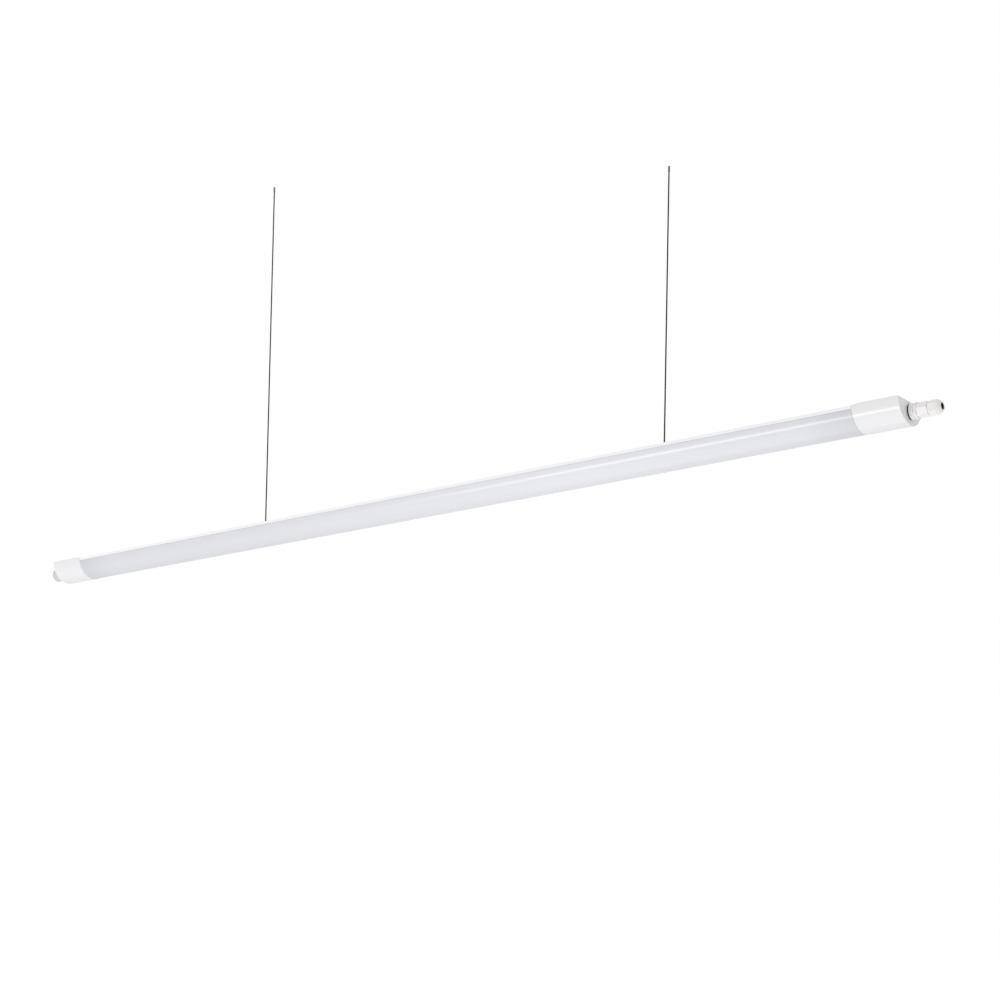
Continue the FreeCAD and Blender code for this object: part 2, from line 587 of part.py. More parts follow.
def end_cap(place, side):
    """A moulded cap: D-shaped shell, ramp onto the back, sleeve for the diffuser and a boss for the gland."""
    body = new_body(f"cap_body_{place}")
    outer = f"({RADIUS} + cap_proud)"
    inner = f"({RADIUS} - cap_wall)"
    top = segment(outer, CENTRE, "cap_rise")
    face = outline(body, f"cap_face_{place}", "YZ_Plane",
                   [(f"-({top})", "cap_rise", 0, CENTRE, outer), (top, "cap_rise")])
    shell = pad(body, face, "cap_length", backwards=True)
    document.recompute()
    mouth = -number("cap_length / 2")
    edges = [f"Edge{i}" for i, edge in enumerate(shell.Shape.Edges, 1) if edge.BoundBox.XMax > mouth]
    rounding = body.newObject("PartDesign::Fillet", f"cap_rounding_{place}")
    rounding.Base = (shell, edges)
    bind(rounding, Radius="cap_rounding")
    hollow_top = segment(inner, CENTRE, 0)
    hollow = outline(body, f"cap_hollow_{place}", "YZ_Plane",
                     [(f"-({hollow_top})", 0, 0, CENTRE, inner), (hollow_top, 0)], "-cap_end_wall")
    pocket(body, hollow, "cap_length - cap_end_wall + overrun")
    ramp = outline(body, f"cap_ramp_{place}", "XZ_Plane", [
        ("-cap_length - overrun", "cap_lip"),
        ("-cap_length", "cap_lip"),
        ("-cap_length + cap_ramp", "cap_rise"),
        ("-cap_length + cap_ramp", "cap_rise + overrun"),
        ("-cap_length - overrun", "cap_rise + overrun"),
    ])
    pocket(body, ramp, "2 * tube_width", both_ways=True)
    sleeve_out = f"({RADIUS} - diffuser_wall - fit_gap)"
    sleeve_in = f"({sleeve_out} - spigot_wall)"
    edge_out = segment(sleeve_out, CENTRE, "-spigot_drop")
    edge_in = segment(sleeve_in, CENTRE, "-spigot_drop")
    sleeve = outline(body, f"cap_sleeve_{place}", "YZ_Plane", [
        (f"-({edge_out})", "-spigot_drop", 0, CENTRE, sleeve_out),
        (edge_out, "-spigot_drop"),
        (edge_in, "-spigot_drop", 0, CENTRE, sleeve_in, CLOCKWISE),
        (f"-({edge_in})", "-spigot_drop"),
    ], "-(cap_length + spigot_length)")
    pad(body, sleeve, "spigot_length + spigot_root")
    boss = round_hole(body, f"cap_boss_{place}", "YZ_Plane", 0, "-gland_drop", "boss_radius",
                      "-(cap_end_wall + boss_length)")
    pad(body, boss, "cap_end_wall / 2 + boss_length")
    bore = round_hole(body, f"cap_bore_{place}", "YZ_Plane", 0, "-gland_drop", "thread_radius + fit_gap",
                      "overrun")
    pocket(body, bore, "2 * overrun + cap_end_wall + boss_length")
    for across in (1, -1):
        hole = round_hole(body, f"cap_screw_hole_{place}_{across + 1}", "XY_Plane",
                          "-cap_length + screw_setback", f"{across} * screw_spacing / 2",
                          "screw_radius + fit_gap")
        pocket(body, hole, "2 * cap_rise + 2 * fit_gap", both_ways=True)
    at_end(keep(f"end_cap_{place}", body), side)


def cap_gasket(place, side):
    """A flat gasket round the diffuser's end, from one edge of the housing to the other."""
    body = new_body(f"gasket_body_{place}")
    out = f"({RADIUS} - gasket_setback)"
    inside = f"({out} - gasket_width)"
    top = "-gasket_setback"
    edge_out, edge_in = segment(out, CENTRE, top), segment(inside, CENTRE, top)
    ring = outline(body, f"gasket_ring_{place}", "YZ_Plane", [
        (f"-({edge_out})", top, 0, CENTRE, out),
        (edge_out, top),
        (edge_in, top, 0, CENTRE, inside, CLOCKWISE),
        (f"-({edge_in})", top),
    ], "-(cap_length + gasket_thickness)")
    pad(body, ring, "gasket_thickness")
    at_end(keep(f"cap_gasket_{place}", body), side)


def cap_screws(place, side):
    """Two pan-head screws through the cap's top into the housing."""
    screws = []
    x = "-cap_length + screw_setback"
    for across in (1, -1):
        y = f"{across} * screw_spacing / 2"
        name = f"cap_screw_{place}_{across + 1}"
        shank = upright(f"{name}_shank", "screw_radius", x, y, "cap_rise - screw_length", "cap_rise")
        head = upright(f"{name}_head", "screw_head_radius", x, y, "cap_rise", "cap_rise + screw_head_height")
        socket = upright(f"{name}_socket", "screw_socket", x, y,
                         "cap_rise + screw_head_height - screw_socket_depth",
                         "cap_rise + screw_head_height + overrun")
        screws.append(joined("Cut", name, joined("Fuse", name, shank, head), socket))
    at_end(keep(f"cap_screws_{place}", group(f"cap_screw_group_{place}", screws)), side)


LOCKNUT_FRONT = "(seal_thickness + locknut_thickness)"
FLANGE_BACK = f"({LOCKNUT_FRONT} + flange_gap)"
FLANGE_FRONT = f"({FLANGE_BACK} + flange_thickness)"
GRIP_FRONT = f"({FLANGE_FRONT} + grip_length)"
COLLAR_FRONT = f"({GRIP_FRONT} + collar_length)"
NUT_BACK = f"({GRIP_FRONT} + seat_gap)"
NUT_FRONT = f"({NUT_BACK} + nut_length)"
INSERT_FRONT = f"({NUT_FRONT} - nut_seat - seat_gap)"
INSERT_BACK = f"({INSERT_FRONT} - insert_length)"


def hexagon_trim(body, name, flats, turn, back, front):
    """Cuts a turned piece down to a hexagon between two places along X."""
    corner = f"({flats}) / sqrt(3)"
    turns = [f"({60 * side} + {turn})" for side in range(6)]
    hexagon = [(f"{corner} * cos({angle})", f"{corner} * sin({angle})") for angle in turns]
    sketch = outline(body, name, "YZ_Plane", hexagon, back)
    around = "flange_radius + overrun"
    ring = sketch.addGeometry(Part.Circle(FreeCAD.Vector(), Z_AXIS, number(around)), False)
    sketch.addConstraint(Sketcher.Constraint("Coincident", ring, 3, -1, 1))
    made = sketch.addConstraint(Sketcher.Constraint("Radius", ring, number(around)))
    sketch.renameConstraint(made, "around")
    sketch.setExpression("Constraints.around", sized(around))
    return pocket(body, sketch, f"({front}) - ({back})", backwards=True)


def seal(name, side):
    """The black washer between a cap's end face and what is screwed into it."""
    disc = round_bar(f"{name}_disc", "seal_radius", 0, "seal_thickness")
    hole = round_bar(f"{name}_hole", "thread_radius + fit_gap", "-overrun", "seal_thickness + overrun")
    at_end(keep(name, joined("Cut", name, disc, hole)), side, "-gland_drop")


def gland_locknut():
    """The nut that locks the gland in the cap's thread: a round flange and a bevelled hexagon."""
    body = new_body("locknut_body")
    corner = "(locknut_flats / sqrt(3))"
    bevel = f"({corner} - locknut_flats / 2)"
    flange_front = "(seal_thickness + locknut_flange)"
    turned = outline(body, "locknut_section", "XZ_Plane", [
        ("seal_thickness", "thread_radius + fit_gap"),
        ("seal_thickness", "flange_radius - flange_gap / 2"),
        ("seal_thickness + flange_gap / 2", "flange_radius"),
        (flange_front, "flange_radius"),
        (f"{LOCKNUT_FRONT} - {bevel}", corner),
        (LOCKNUT_FRONT, "locknut_flats / 2"),
        (LOCKNUT_FRONT, "thread_radius + fit_gap"),
    ])
    revolution(body, turned)
    hexagon_trim(body, "locknut_hexagon", "locknut_flats", "locknut_turn", flange_front,
                 f"{LOCKNUT_FRONT} + overrun")
    at_end(keep("gland_locknut", body), 1, "-gland_drop")


def gland_body():
    """Thread, flange, hexagon, the dome nut's thread and, in front of it, slotted fingers."""
    body = new_body("gland_body_body")
    corner = "(grip_flats / sqrt(3))"
    bevel = f"({corner} - grip_flats / 2)"
    bore = "(insert_radius + thread_gap)"
    seat = f"({INSERT_BACK} - seat_gap)"
    finger_front = f"({COLLAR_FRONT} + finger_length)"
    turned = outline(body, "gland_section", "XZ_Plane", [
        ("-thread_length", "passage_radius"),
        ("-thread_length", "thread_radius"),
        (FLANGE_BACK, "thread_radius"),
        (FLANGE_BACK, "flange_radius"),
        (FLANGE_FRONT, "flange_radius"),
        (FLANGE_FRONT, corner),
        (f"{GRIP_FRONT} - {bevel} / 2", corner),
        (GRIP_FRONT, f"{corner} - {bevel} / 2"),
        (GRIP_FRONT, "collar_radius"),
        (COLLAR_FRONT, "collar_radius"),
        (COLLAR_FRONT, "finger_radius"),
        (f"{COLLAR_FRONT} + finger_length / 2", "finger_radius"),
        (finger_front, "(finger_radius + insert_radius) / 2"),
        (finger_front, bore),
        (seat, bore),
        (seat, "passage_radius"),
    ])
    revolution(body, turned)
    hexagon_trim(body, "gland_hexagon", "grip_flats", "grip_turn", FLANGE_FRONT, GRIP_FRONT)
    slot = outline(body, "finger_slot", "XZ_Plane", [
        (COLLAR_FRONT, "-finger_slot / 2"),
        (f"{finger_front} + overrun", "-finger_slot / 2"),
        (f"{finger_front} + overrun", "finger_slot / 2"),
        (COLLAR_FRONT, "finger_slot / 2"),
    ])
    cut = pocket(body, slot, "2 * flange_radius", both_ways=True)
    pattern = body.newObject("PartDesign::PolarPattern", "finger_slots")
    pattern.Originals = [cut]
    pattern.Axis = (plane_of(body, "X_Axis"), [""])
    # One cut goes right across, so half as many cuts over half a turn part all the fingers
    pattern.Angle = 180 - 180 / (FINGERS / 2)
    pattern.Occurrences = FINGERS // 2
    body.Tip = pattern
    at_end(keep("gland_body", body), 1, "-gland_drop")


def clamping_insert():
    """The rubber sleeve that the dome nut squeezes onto the cable."""
    body = new_body("insert_body")
    turned = outline(body, "insert_section", "XZ_Plane", [
        (INSERT_BACK, "cable_radius"),
        (INSERT_BACK, "insert_radius"),
        (f"{INSERT_FRONT} - insert_nose", "insert_radius"),
        (INSERT_FRONT, "(cable_radius + insert_radius) / 2"),
        (INSERT_FRONT, "cable_radius"),
    ])
    revolution(body, turned)
    at_end(keep("clamping_insert", body), 1, "-gland_drop")


def dome_nut():
    """The nut that clamps the insert: a hexagon that runs out into a domed nose."""
    body = new_body("dome_nut_body")
    corner = "(grip_flats / sqrt(3))"
    bevel = f"({corner} - grip_flats / 2)"
    dome_back = f"({NUT_FRONT} - nut_dome)"
    # The nose is an arc that stands a little outside the straight line from the hexagon to the flat front
    fall = f"({corner} - nut_nose_radius)"
    chord = f"sqrt(nut_dome ^ 2 + {fall} ^ 2)"
    radius = f"(({chord} ^ 2 / 4 + nut_bulge ^ 2) / (2 * nut_bulge))"
    inward = f"({radius} - nut_bulge)"
    middle_x = f"{NUT_FRONT} - nut_dome / 2 - {inward} * {fall} / {chord}"
    middle_y = f"({corner} + nut_nose_radius) / 2 - {inward} * nut_dome / {chord}"
    turned = outline(body, "dome_section", "XZ_Plane", [
        (NUT_BACK, "collar_radius + thread_gap"),
        (NUT_BACK, "grip_flats / 2"),
        (f"{NUT_BACK} + {bevel}", corner),
        (dome_back, corner, middle_x, middle_y, radius, CLOCKWISE),
        (NUT_FRONT, "nut_nose_radius"),
        (NUT_FRONT, "nut_mouth_radius"),
        (f"{NUT_FRONT} - nut_seat", "nut_mouth_radius"),
        (f"{NUT_FRONT} - nut_seat", "insert_radius"),
        (f"{NUT_BACK} + nut_thread", "collar_radius + thread_gap"),
    ])
    revolution(body, turned)
    hexagon_trim(body, "dome_hexagon", "grip_flats", "nut_turn", NUT_BACK, f"{NUT_FRONT} + overrun")
    at_end(keep("dome_nut", body), 1, "-gland_drop")


def blanking_plug():
    """The plug that closes the far cap: hollow thread, hexagon, a groove and a long round head."""
    body = new_body("plug_body")
    corner = "(locknut_flats / sqrt(3))"
    bevel = f"({corner} - locknut_flats / 2)"
    hexagon_front = "(seal_thickness + plug_flange)"
    head_back = f"({hexagon_front} + plug_waist)"
    head_front = f"({head_back} + plug_head)"
    turned = outline(body, "plug_section", "XZ_Plane", [
        ("-thread_length", "plug_recess_radius"),
        ("-thread_length", "thread_radius"),
        ("seal_thickness", "thread_radius"),
        ("seal_thickness", "locknut_flats / 2"),
        (f"seal_thickness + {bevel}", corner),
        (hexagon_front, corner),
        (hexagon_front, "flange_radius - plug_waist_depth"),
        (head_back, "flange_radius - plug_waist_depth"),
        (head_back, "flange_radius"),
        (f"{head_front} - plug_rounding", "flange_radius", f"{head_front} - plug_rounding",
         "flange_radius - plug_rounding", "plug_rounding", CLOCKWISE),
        (head_front, "flange_radius - plug_rounding"),
        (head_front, 0),
        (f"{head_front} - plug_floor", 0),
        (f"{head_front} - plug_floor", "plug_recess_radius"),
    ])
    revolution(body, turned)
    hexagon_trim(body, "plug_hexagon", "locknut_flats", "locknut_turn", "seal_thickness", hexagon_front)
    at_end(keep("blanking_plug", body), -1, "-gland_drop")


def hanger(place, where, side, length):
    """Slider and collar, which hold the ball of a wire between them, and the wire with its top sleeve."""
    # The sliding nut: a plate under the T-slot's lips and a neck with the lower half of the ball's socket
    plate = box(f"slider_plate_{place}", ("-slider_length / 2", "slider_length / 2"),
                ("-(slot_width / 2 - seat_gap)", "slot_width / 2 - seat_gap"),
                ("-(slot_lip + slot_height - seat_gap)", "-(slot_lip + seat_gap)"))
    neck_radius = "(ball_radius + ball_gap + socket_wall)"
    neck = upright(f"slider_neck_{place}", neck_radius, 0, 0, "-(slot_lip + slot_height / 2)", "ball_lift")
    cup = document.addObject("Part::Sphere", f"slider_cup_{place}")
    bind(cup, Radius="ball_radius + ball_gap")
    put(cup, 0, 0, "ball_lift")
    slider = joined("Cut", f"slider_{place}", joined("Fuse", f"slider_{place}", plate, neck), cup)
    put(keep(f"hanger_slider_{place}", slider), where)

    # The collar closes the socket from above; its mouth lets the wire lean
    body = new_body(f"collar_body_{place}")
    ball_space = "(ball_radius + ball_gap)"
    throat = f"sqrt({ball_space} ^ 2 - socket_throat ^ 2)"
    bevel = "(socket_wall / 2)"
    turned = outline(body, f"collar_section_{place}", "XZ_Plane", [
        ("seat_gap", f"{neck_radius} + thread_gap"),
        ("seat_gap", f"socket_radius - {bevel}"),
        (f"seat_gap + {bevel}", "socket_radius"),
        (f"socket_height - {bevel}", "socket_radius"),
        ("socket_height", f"socket_radius - {bevel}"),
        ("socket_height", "socket_mouth_radius"),
        ("ball_lift + socket_throat", throat, "ball_lift", 0, ball_space),
        ("ball_lift", ball_space),
        ("ball_lift", f"{neck_radius} + thread_gap"),
    ])
    revolution(body, turned)
    put(keep(f"hanger_collar_{place}", body), where, 0, 0, Y_AXIS, -90)

    # Ball, wire and sleeve stand on one line, which leans outwards
    lean = side * number("wire_lean")
    along = f"sin({side} * wire_lean)", "cos(wire_lean)"

    def on_line(thing, distance):
        return put(thing, f"{where} + ({distance}) * {along[0]}", 0, f"ball_lift + ({distance}) * {along[1]}",
                   Y_AXIS, lean)

    ball = document.addObject("Part::Sphere", f"ball_{place}")
    bind(ball, Radius="ball_radius")
    shank = upright(f"ball_shank_{place}", "shank_radius", 0, 0, 0, "shank_length")
    on_line(keep(f"wire_ball_{place}", joined("Fuse", f"wire_ball_{place}", ball, shank)), 0)
    wire = document.addObject("Part::Cylinder", f"wire_{place}_run")
    bind(wire, Radius="wire_radius", Height=length)
    on_line(keep(f"wire_{place}", wire), "shank_length")
    sleeve = document.addObject("Part::Cylinder", f"wire_sleeve_{place}_run")
    bind(sleeve, Radius="sleeve_radius", Height="sleeve_length")
    on_line(keep(f"wire_sleeve_{place}", sleeve), f"shank_length + {length}")


housing()
diffuser()
gear_tray()
driver()
boards()
terminals()
wiring()
for place, side in (("near", 1), ("far", -1)):
    end_cap(place, side)
    cap_gasket(place, side)
    cap_screws(place, side)
seal("gland_seal", 1)
gland_locknut()
gland_body()
clamping_insert()
dome_nut()
seal("plug_seal", -1)
blanking_plug()
hanger("left", "-hanger_left", -1, "wire_left_length")
hanger("right", "hanger_right", 1, "wire_right_length")
document.recompute()

for thing in document.Objects:
    if "Invalid" in thing.State or "Error" in thing.State:
        raise RuntimeError(f"{thing.Name} failed: {thing.State}")
for name, thing in parts.items():
    shape = thing.Shape
    if shape.isNull() or not shape.isValid() or not shape.Solids:
        raise RuntimeError(f"{name} has no valid solid")
    shape.exportStep(f"parts/{name}.step")
print(f"{len(parts)} sub-parts written")
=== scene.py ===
"""The finish of a slim suspended vapor-tight light: its surfaces, its wires and a plain studio round it.

Metres, in the same frame as the construction: X along the tube towards the gland, Z up.
"""

import json
import math

import bmesh
import bpy
from mathutils import Matrix, Vector


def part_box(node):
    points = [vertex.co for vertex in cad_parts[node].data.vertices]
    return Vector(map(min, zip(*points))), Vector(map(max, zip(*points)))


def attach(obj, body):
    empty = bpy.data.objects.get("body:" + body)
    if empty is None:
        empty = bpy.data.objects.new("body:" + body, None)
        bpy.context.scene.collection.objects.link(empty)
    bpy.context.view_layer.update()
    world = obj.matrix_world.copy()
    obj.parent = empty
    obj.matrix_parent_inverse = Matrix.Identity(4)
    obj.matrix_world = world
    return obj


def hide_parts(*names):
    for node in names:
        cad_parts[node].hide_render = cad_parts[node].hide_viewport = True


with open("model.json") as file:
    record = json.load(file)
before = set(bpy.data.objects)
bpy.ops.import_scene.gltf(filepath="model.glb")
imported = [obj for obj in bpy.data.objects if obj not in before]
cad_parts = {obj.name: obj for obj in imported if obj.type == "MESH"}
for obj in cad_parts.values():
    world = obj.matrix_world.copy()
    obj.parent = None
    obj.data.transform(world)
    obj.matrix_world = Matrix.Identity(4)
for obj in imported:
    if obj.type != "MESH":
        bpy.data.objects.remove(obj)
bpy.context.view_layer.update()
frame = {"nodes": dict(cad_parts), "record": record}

nodes = frame["nodes"]

# Viewpoint: a long lens below the light and beyond its gland end, turned towards its middle and rolled by
# under a degree.
EYE = (1.74473, -2.08954, -0.74906)
EYE_TURN = 0.656
EYE_RISE = 0.2681
EYE_ROLL = 0.0152
LENS = 72
FILM = 36

bpy.ops.object.camera_add(location=EYE)
camera = bpy.context.object
camera.data.lens = LENS
camera.data.sensor_width = FILM
camera.data.clip_end = 100
aim = (Matrix.Rotation(EYE_TURN, 3, "Z") @ Matrix.Rotation(math.pi / 2 + EYE_RISE, 3, "X")
       @ Matrix.Rotation(EYE_ROLL, 3, "Z"))
camera.rotation_euler = aim.to_euler()
bpy.context.scene.camera = camera
bpy.context.scene.view_settings.view_transform = "Standard"

# Suspension wires: two steel ropes of nine strands laid round a core, pulled straight by the light's weight.
# Each leaves the shank of a ball foot in its hanger and ends above in a crimped sleeve, whose other half
# goes up into a ceiling gripper.

# A wire's place, its foot along the slot, the side that it leans to and its length.
WIRES = (("left", -0.307, -1, 0.542), ("right", 0.403, 1, 0.380))
BALL_LEVEL = 0.0032
SHANK_LENGTH = 0.0055
ROPE_LEAN = math.radians(1.6)
ROPE_RADIUS = 0.001
ROUTE_SHARES = (0, 0.33, 0.67, 1)
STRANDS = 9
STRAND_SHARE = 0.255
CORE_SHARE = 0.6
STRAND_LAY = 0.013
STEPS_A_TURN = 12


def finish(name, colour, roughness, metallic=0.0):
    """A new material whose plain values stand on the shader's own sockets."""
    material = bpy.data.materials.new(name)
    material.use_nodes = True
    shader = material.node_tree.nodes["Principled BSDF"]
    shader.inputs["Base Color"].default_value = (*colour, 1)
    shader.inputs["Roughness"].default_value = roughness
    shader.inputs["Metallic"].default_value = metallic
    return material


def pattern(material, stretch, **values):
    """A noise pattern on the object's own coordinates, stretched along X, Y and Z."""
    tree = material.node_tree
    place = tree.nodes.new("ShaderNodeTexCoord")
    mapping = tree.nodes.new("ShaderNodeMapping")
    mapping.inputs["Scale"].default_value = stretch
    texture = tree.nodes.new("ShaderNodeTexNoise")
    for socket, value in values.items():
        texture.inputs[socket].default_value = value
    tree.links.new(place.outputs["Object"], mapping.inputs["Vector"])
    tree.links.new(mapping.outputs["Vector"], texture.inputs["Vector"])
    return texture.outputs[0]


def tint(material, pattern_out, dark, light):
    """Lets a pattern move the colour between two shades."""
    tree = material.node_tree
    mix = tree.nodes.new("ShaderNodeMix")
    mix.data_type = "RGBA"
    colours = [socket for socket in mix.inputs if socket.type == "RGBA"]
    colours[0].default_value = (*dark, 1)
    colours[1].default_value = (*light, 1)
    result = next(socket for socket in mix.outputs if socket.type == "RGBA")
    tree.links.new(pattern_out, mix.inputs["Factor"])
    tree.links.new(result, tree.nodes["Principled BSDF"].inputs["Base Color"])


def gloss(material, pattern_out, smoothest, roughest):
    """Lets a pattern move the roughness between two values."""
    tree = material.node_tree
    spread = tree.nodes.new("ShaderNodeMapRange")
    spread.inputs["To Min"].default_value = smoothest
    spread.inputs["To Max"].default_value = roughest
    tree.links.new(pattern_out, spread.inputs["Value"])
    tree.links.new(spread.outputs["Result"], tree.nodes["Principled BSDF"].inputs["Roughness"])


def relief(material, pattern_out, depth):
    """Lets a pattern raise and lower the surface by a depth in metres."""
    tree = material.node_tree
    bump = tree.nodes.new("ShaderNodeBump")
    bump.inputs["Distance"].default_value = depth
    bump.inputs["Strength"].default_value = 1.0
    tree.links.new(pattern_out, bump.inputs["Height"])
    tree.links.new(bump.outputs["Normal"], tree.nodes["Principled BSDF"].inputs["Normal"])


def on_wire(foot_x, side, distance):
    """The place and turn of what stands on a wire's line, that far from its ball's middle."""
    lean = Matrix.Rotation(side * ROPE_LEAN, 4, "Y")
    return Matrix.Translation((foot_x, 0, BALL_LEVEL)) @ lean @ Matrix.Translation((0, 0, distance))


def along(line, distance):
    """The point that far along a line of points."""
    for near, far in zip(line, line[1:]):
        step = (far - near).length
        if distance <= step or far is line[-1]:
            return near.lerp(far, distance / step)
        distance -= step


def dress(piece, node, material):
    """Gives a piece its material and lets it stand for a construction node, on that node's body."""
    piece.data.materials.clear()
    piece.data.materials.append(material)
    body, slot = next((body, part["material_slot"])
                      for body, members in frame["record"]["behaviour"]["bodies"].items() if node in members
                      for part in frame["record"]["subparts"] if part["node"] == node)
    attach(piece, body)
    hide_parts(node)


rope_steel = finish("rope_steel", (0.032, 0.032, 0.034), 0.42, 1.0)
rope_grime = pattern(rope_steel, (900, 900, 300), Scale=1, Detail=3)
tint(rope_steel, rope_grime, (0.02, 0.02, 0.021), (0.046, 0.046, 0.048))
gloss(rope_steel, rope_grime, 0.34, 0.55)

ropes = {}
for place, foot_x, side, length in WIRES:
    start = on_wire(foot_x, side, SHANK_LENGTH)
    route = [start @ Vector((0, 0, length * share)) for share in ROUTE_SHARES]
    guide = bpy.data.curves.new(f"route_{place}", "CURVE")
    guide.dimensions = "3D"
    guide.resolution_u = 24
    spline = guide.splines.new("NURBS")
    spline.points.add(len(route) - 1)
    for point, corner in zip(spline.points, route):
        point.co = (*corner, 1)
    spline.order_u = 3
    spline.use_endpoint_u = True
    holder = bpy.data.objects.new(f"route_{place}", guide)
    bpy.context.scene.collection.objects.link(holder)
    followed = [vertex.co.copy() for vertex in bpy.data.meshes.new_from_object(holder).vertices]
    bpy.data.objects.remove(holder)

    strands = bpy.data.curves.new(f"rope_{place}", "CURVE")
    strands.dimensions = "3D"
    strands.bevel_depth = ROPE_RADIUS * STRAND_SHARE
    strands.bevel_resolution = 1
    strands.use_fill_caps = True
    out = ROPE_RADIUS * (1 - STRAND_SHARE)
    across = start.to_3x3()
    steps = round(length / STRAND_LAY * STEPS_A_TURN)
    for strand in range(STRANDS):
        laid = strands.splines.new("POLY")
        laid.points.add(steps)
        for step, point in enumerate(laid.points):
            angle = math.tau * (step / STEPS_A_TURN + strand / STRANDS)
            middle = along(followed, length * step / steps)
            point.co = (*(middle + across @ Vector((out * math.cos(angle), out * math.sin(angle), 0))), 1)
        laid.use_smooth = True
    core = strands.splines.new("POLY")
    core.points.add(1)
    for point, end in zip(core.points, (followed[0], followed[-1])):
        point.co = (*end, 1)
        point.radius = CORE_SHARE / STRAND_SHARE
    bundle = bpy.data.objects.new(f"rope_bundle_{place}", strands)
    bpy.context.scene.collection.objects.link(bundle)
    rope = bpy.data.objects.new(f"suspension_rope_{place}", bpy.data.meshes.new_from_object(bundle))
    bpy.context.scene.collection.objects.link(rope)
    bpy.data.objects.remove(bundle)
    dress(rope, f"wire_{place}", rope_steel)
    ropes[place] = (rope, route[0], followed)

# Wire sleeves: short steel tubes pressed onto the ropes' upper ends in two bands, dark from the tool and
# open above, where the rope's end shows.
SLEEVE_RADIUS = 0.0015
SLEEVE_LENGTH = 0.008
SLEEVE_EDGE = 0.0003
CRIMP_DEPTH = 0.0003
CRIMPS = (0.25, 0.7)
CRIMP_HALF = 0.0009
CRIMP_FORM = ((-1, 0), (-0.6, 1), (0.6, 1), (1, 0))
SMALL_SIDES = 48
MERGING = 1e-7


def turned(name, rings, sides, hollow=False):
    """Turns a shape about Z: a circle is extruded from ring to ring, each a height and a radius."""
    bpy.ops.object.select_all(action="DESELECT")
    bpy.ops.mesh.primitive_circle_add(vertices=sides, radius=rings[0][1], location=(0, 0, rings[0][0]))
    shape = bpy.context.object
    shape.name = name
    bpy.ops.object.transform_apply(location=True, rotation=True, scale=True)
    bpy.ops.object.mode_set(mode="EDIT")
    bpy.ops.mesh.select_mode(type="EDGE")
    bpy.ops.mesh.select_all(action="SELECT")
    for (height, radius), (next_height, next_radius) in zip(rings, rings[1:]):
        bpy.ops.mesh.extrude_edges_move(TRANSFORM_OT_translate={"value": (0, 0, next_height - height)})
        swell = next_radius / radius
        bpy.ops.transform.resize(value=(swell, swell, 1), center_override=(0, 0, next_height))
    if not hollow:
        bpy.ops.mesh.edge_face_add()
    bpy.ops.mesh.select_all(action="SELECT")
    bpy.ops.mesh.remove_doubles(threshold=MERGING)
    if not hollow:
        bpy.ops.mesh.select_all(action="DESELECT")
        bpy.ops.mesh.select_non_manifold()
        bpy.ops.mesh.edge_face_add()
    bpy.ops.mesh.select_all(action="SELECT")
    bpy.ops.mesh.normals_make_consistent(inside=False)
    bpy.ops.object.mode_set(mode="OBJECT")
    return shape


def smooth(shape, angle=35):
    """Shades the round faces of a shape smooth and keeps its edges and its large flat faces."""
    bpy.ops.object.select_all(action="DESELECT")
    shape.select_set(True)
    bpy.context.view_layer.objects.active = shape
    bpy.ops.object.shade_smooth_by_angle(angle=math.radians(angle))
    flat = shape.modifiers.new("flat_faces", "WEIGHTED_NORMAL")
    flat.weight = 90
    flat.keep_sharp = True
    bpy.ops.object.modifier_apply(modifier=flat.name)


def placed(shape, name, stand):
    """A copy of a shape with its own mesh, moved and turned into its place."""
    piece = bpy.data.objects.new(name, shape.data.copy())
    bpy.context.scene.collection.objects.link(piece)
    piece.data.transform(stand)
    return piece


def set_in(shape, material, *places):
    """Sets a copy of a finished shape in each place: a name, a node and a stand. The shape itself goes."""
    pieces = []
    for name, node, stand in places:
        piece = placed(shape, name, stand)
        dress(piece, node, material)
        pieces.append(piece)
    bpy.data.objects.remove(shape)
    return pieces


sleeve_steel = finish("sleeve_steel", (0.16, 0.16, 0.17), 0.5, 1.0)
sleeve_wear = pattern(sleeve_steel, (700, 700, 700), Scale=1, Detail=4)
tint(sleeve_steel, sleeve_wear, (0.10, 0.10, 0.11), (0.24, 0.24, 0.25))
gloss(sleeve_steel, sleeve_wear, 0.4, 0.65)

rings = [(0, SLEEVE_RADIUS - SLEEVE_EDGE), (SLEEVE_EDGE, SLEEVE_RADIUS)]
for share in CRIMPS:
    for shift, depth in CRIMP_FORM:
        rings.append((share * SLEEVE_LENGTH + shift * CRIMP_HALF, SLEEVE_RADIUS - depth * CRIMP_DEPTH))
rings += [(SLEEVE_LENGTH - SLEEVE_EDGE, SLEEVE_RADIUS), (SLEEVE_LENGTH, SLEEVE_RADIUS - SLEEVE_EDGE),
          (SLEEVE_LENGTH, ROPE_RADIUS), (SLEEVE_LENGTH - SLEEVE_RADIUS, ROPE_RADIUS)]
crimped = turned("crimped_tube", rings, SMALL_SIDES)
smooth(crimped)
places = [(f"crimped_sleeve_{place}", f"wire_sleeve_{place}", on_wire(foot_x, side, SHANK_LENGTH + length))
          for place, foot_x, side, length in WIRES]
sleeves = set_in(crimped, sleeve_steel, *places)
for sleeve, (place, foot_x, side, length) in zip(sleeves, WIRES):
    rope, rope_start, followed = ropes[place]

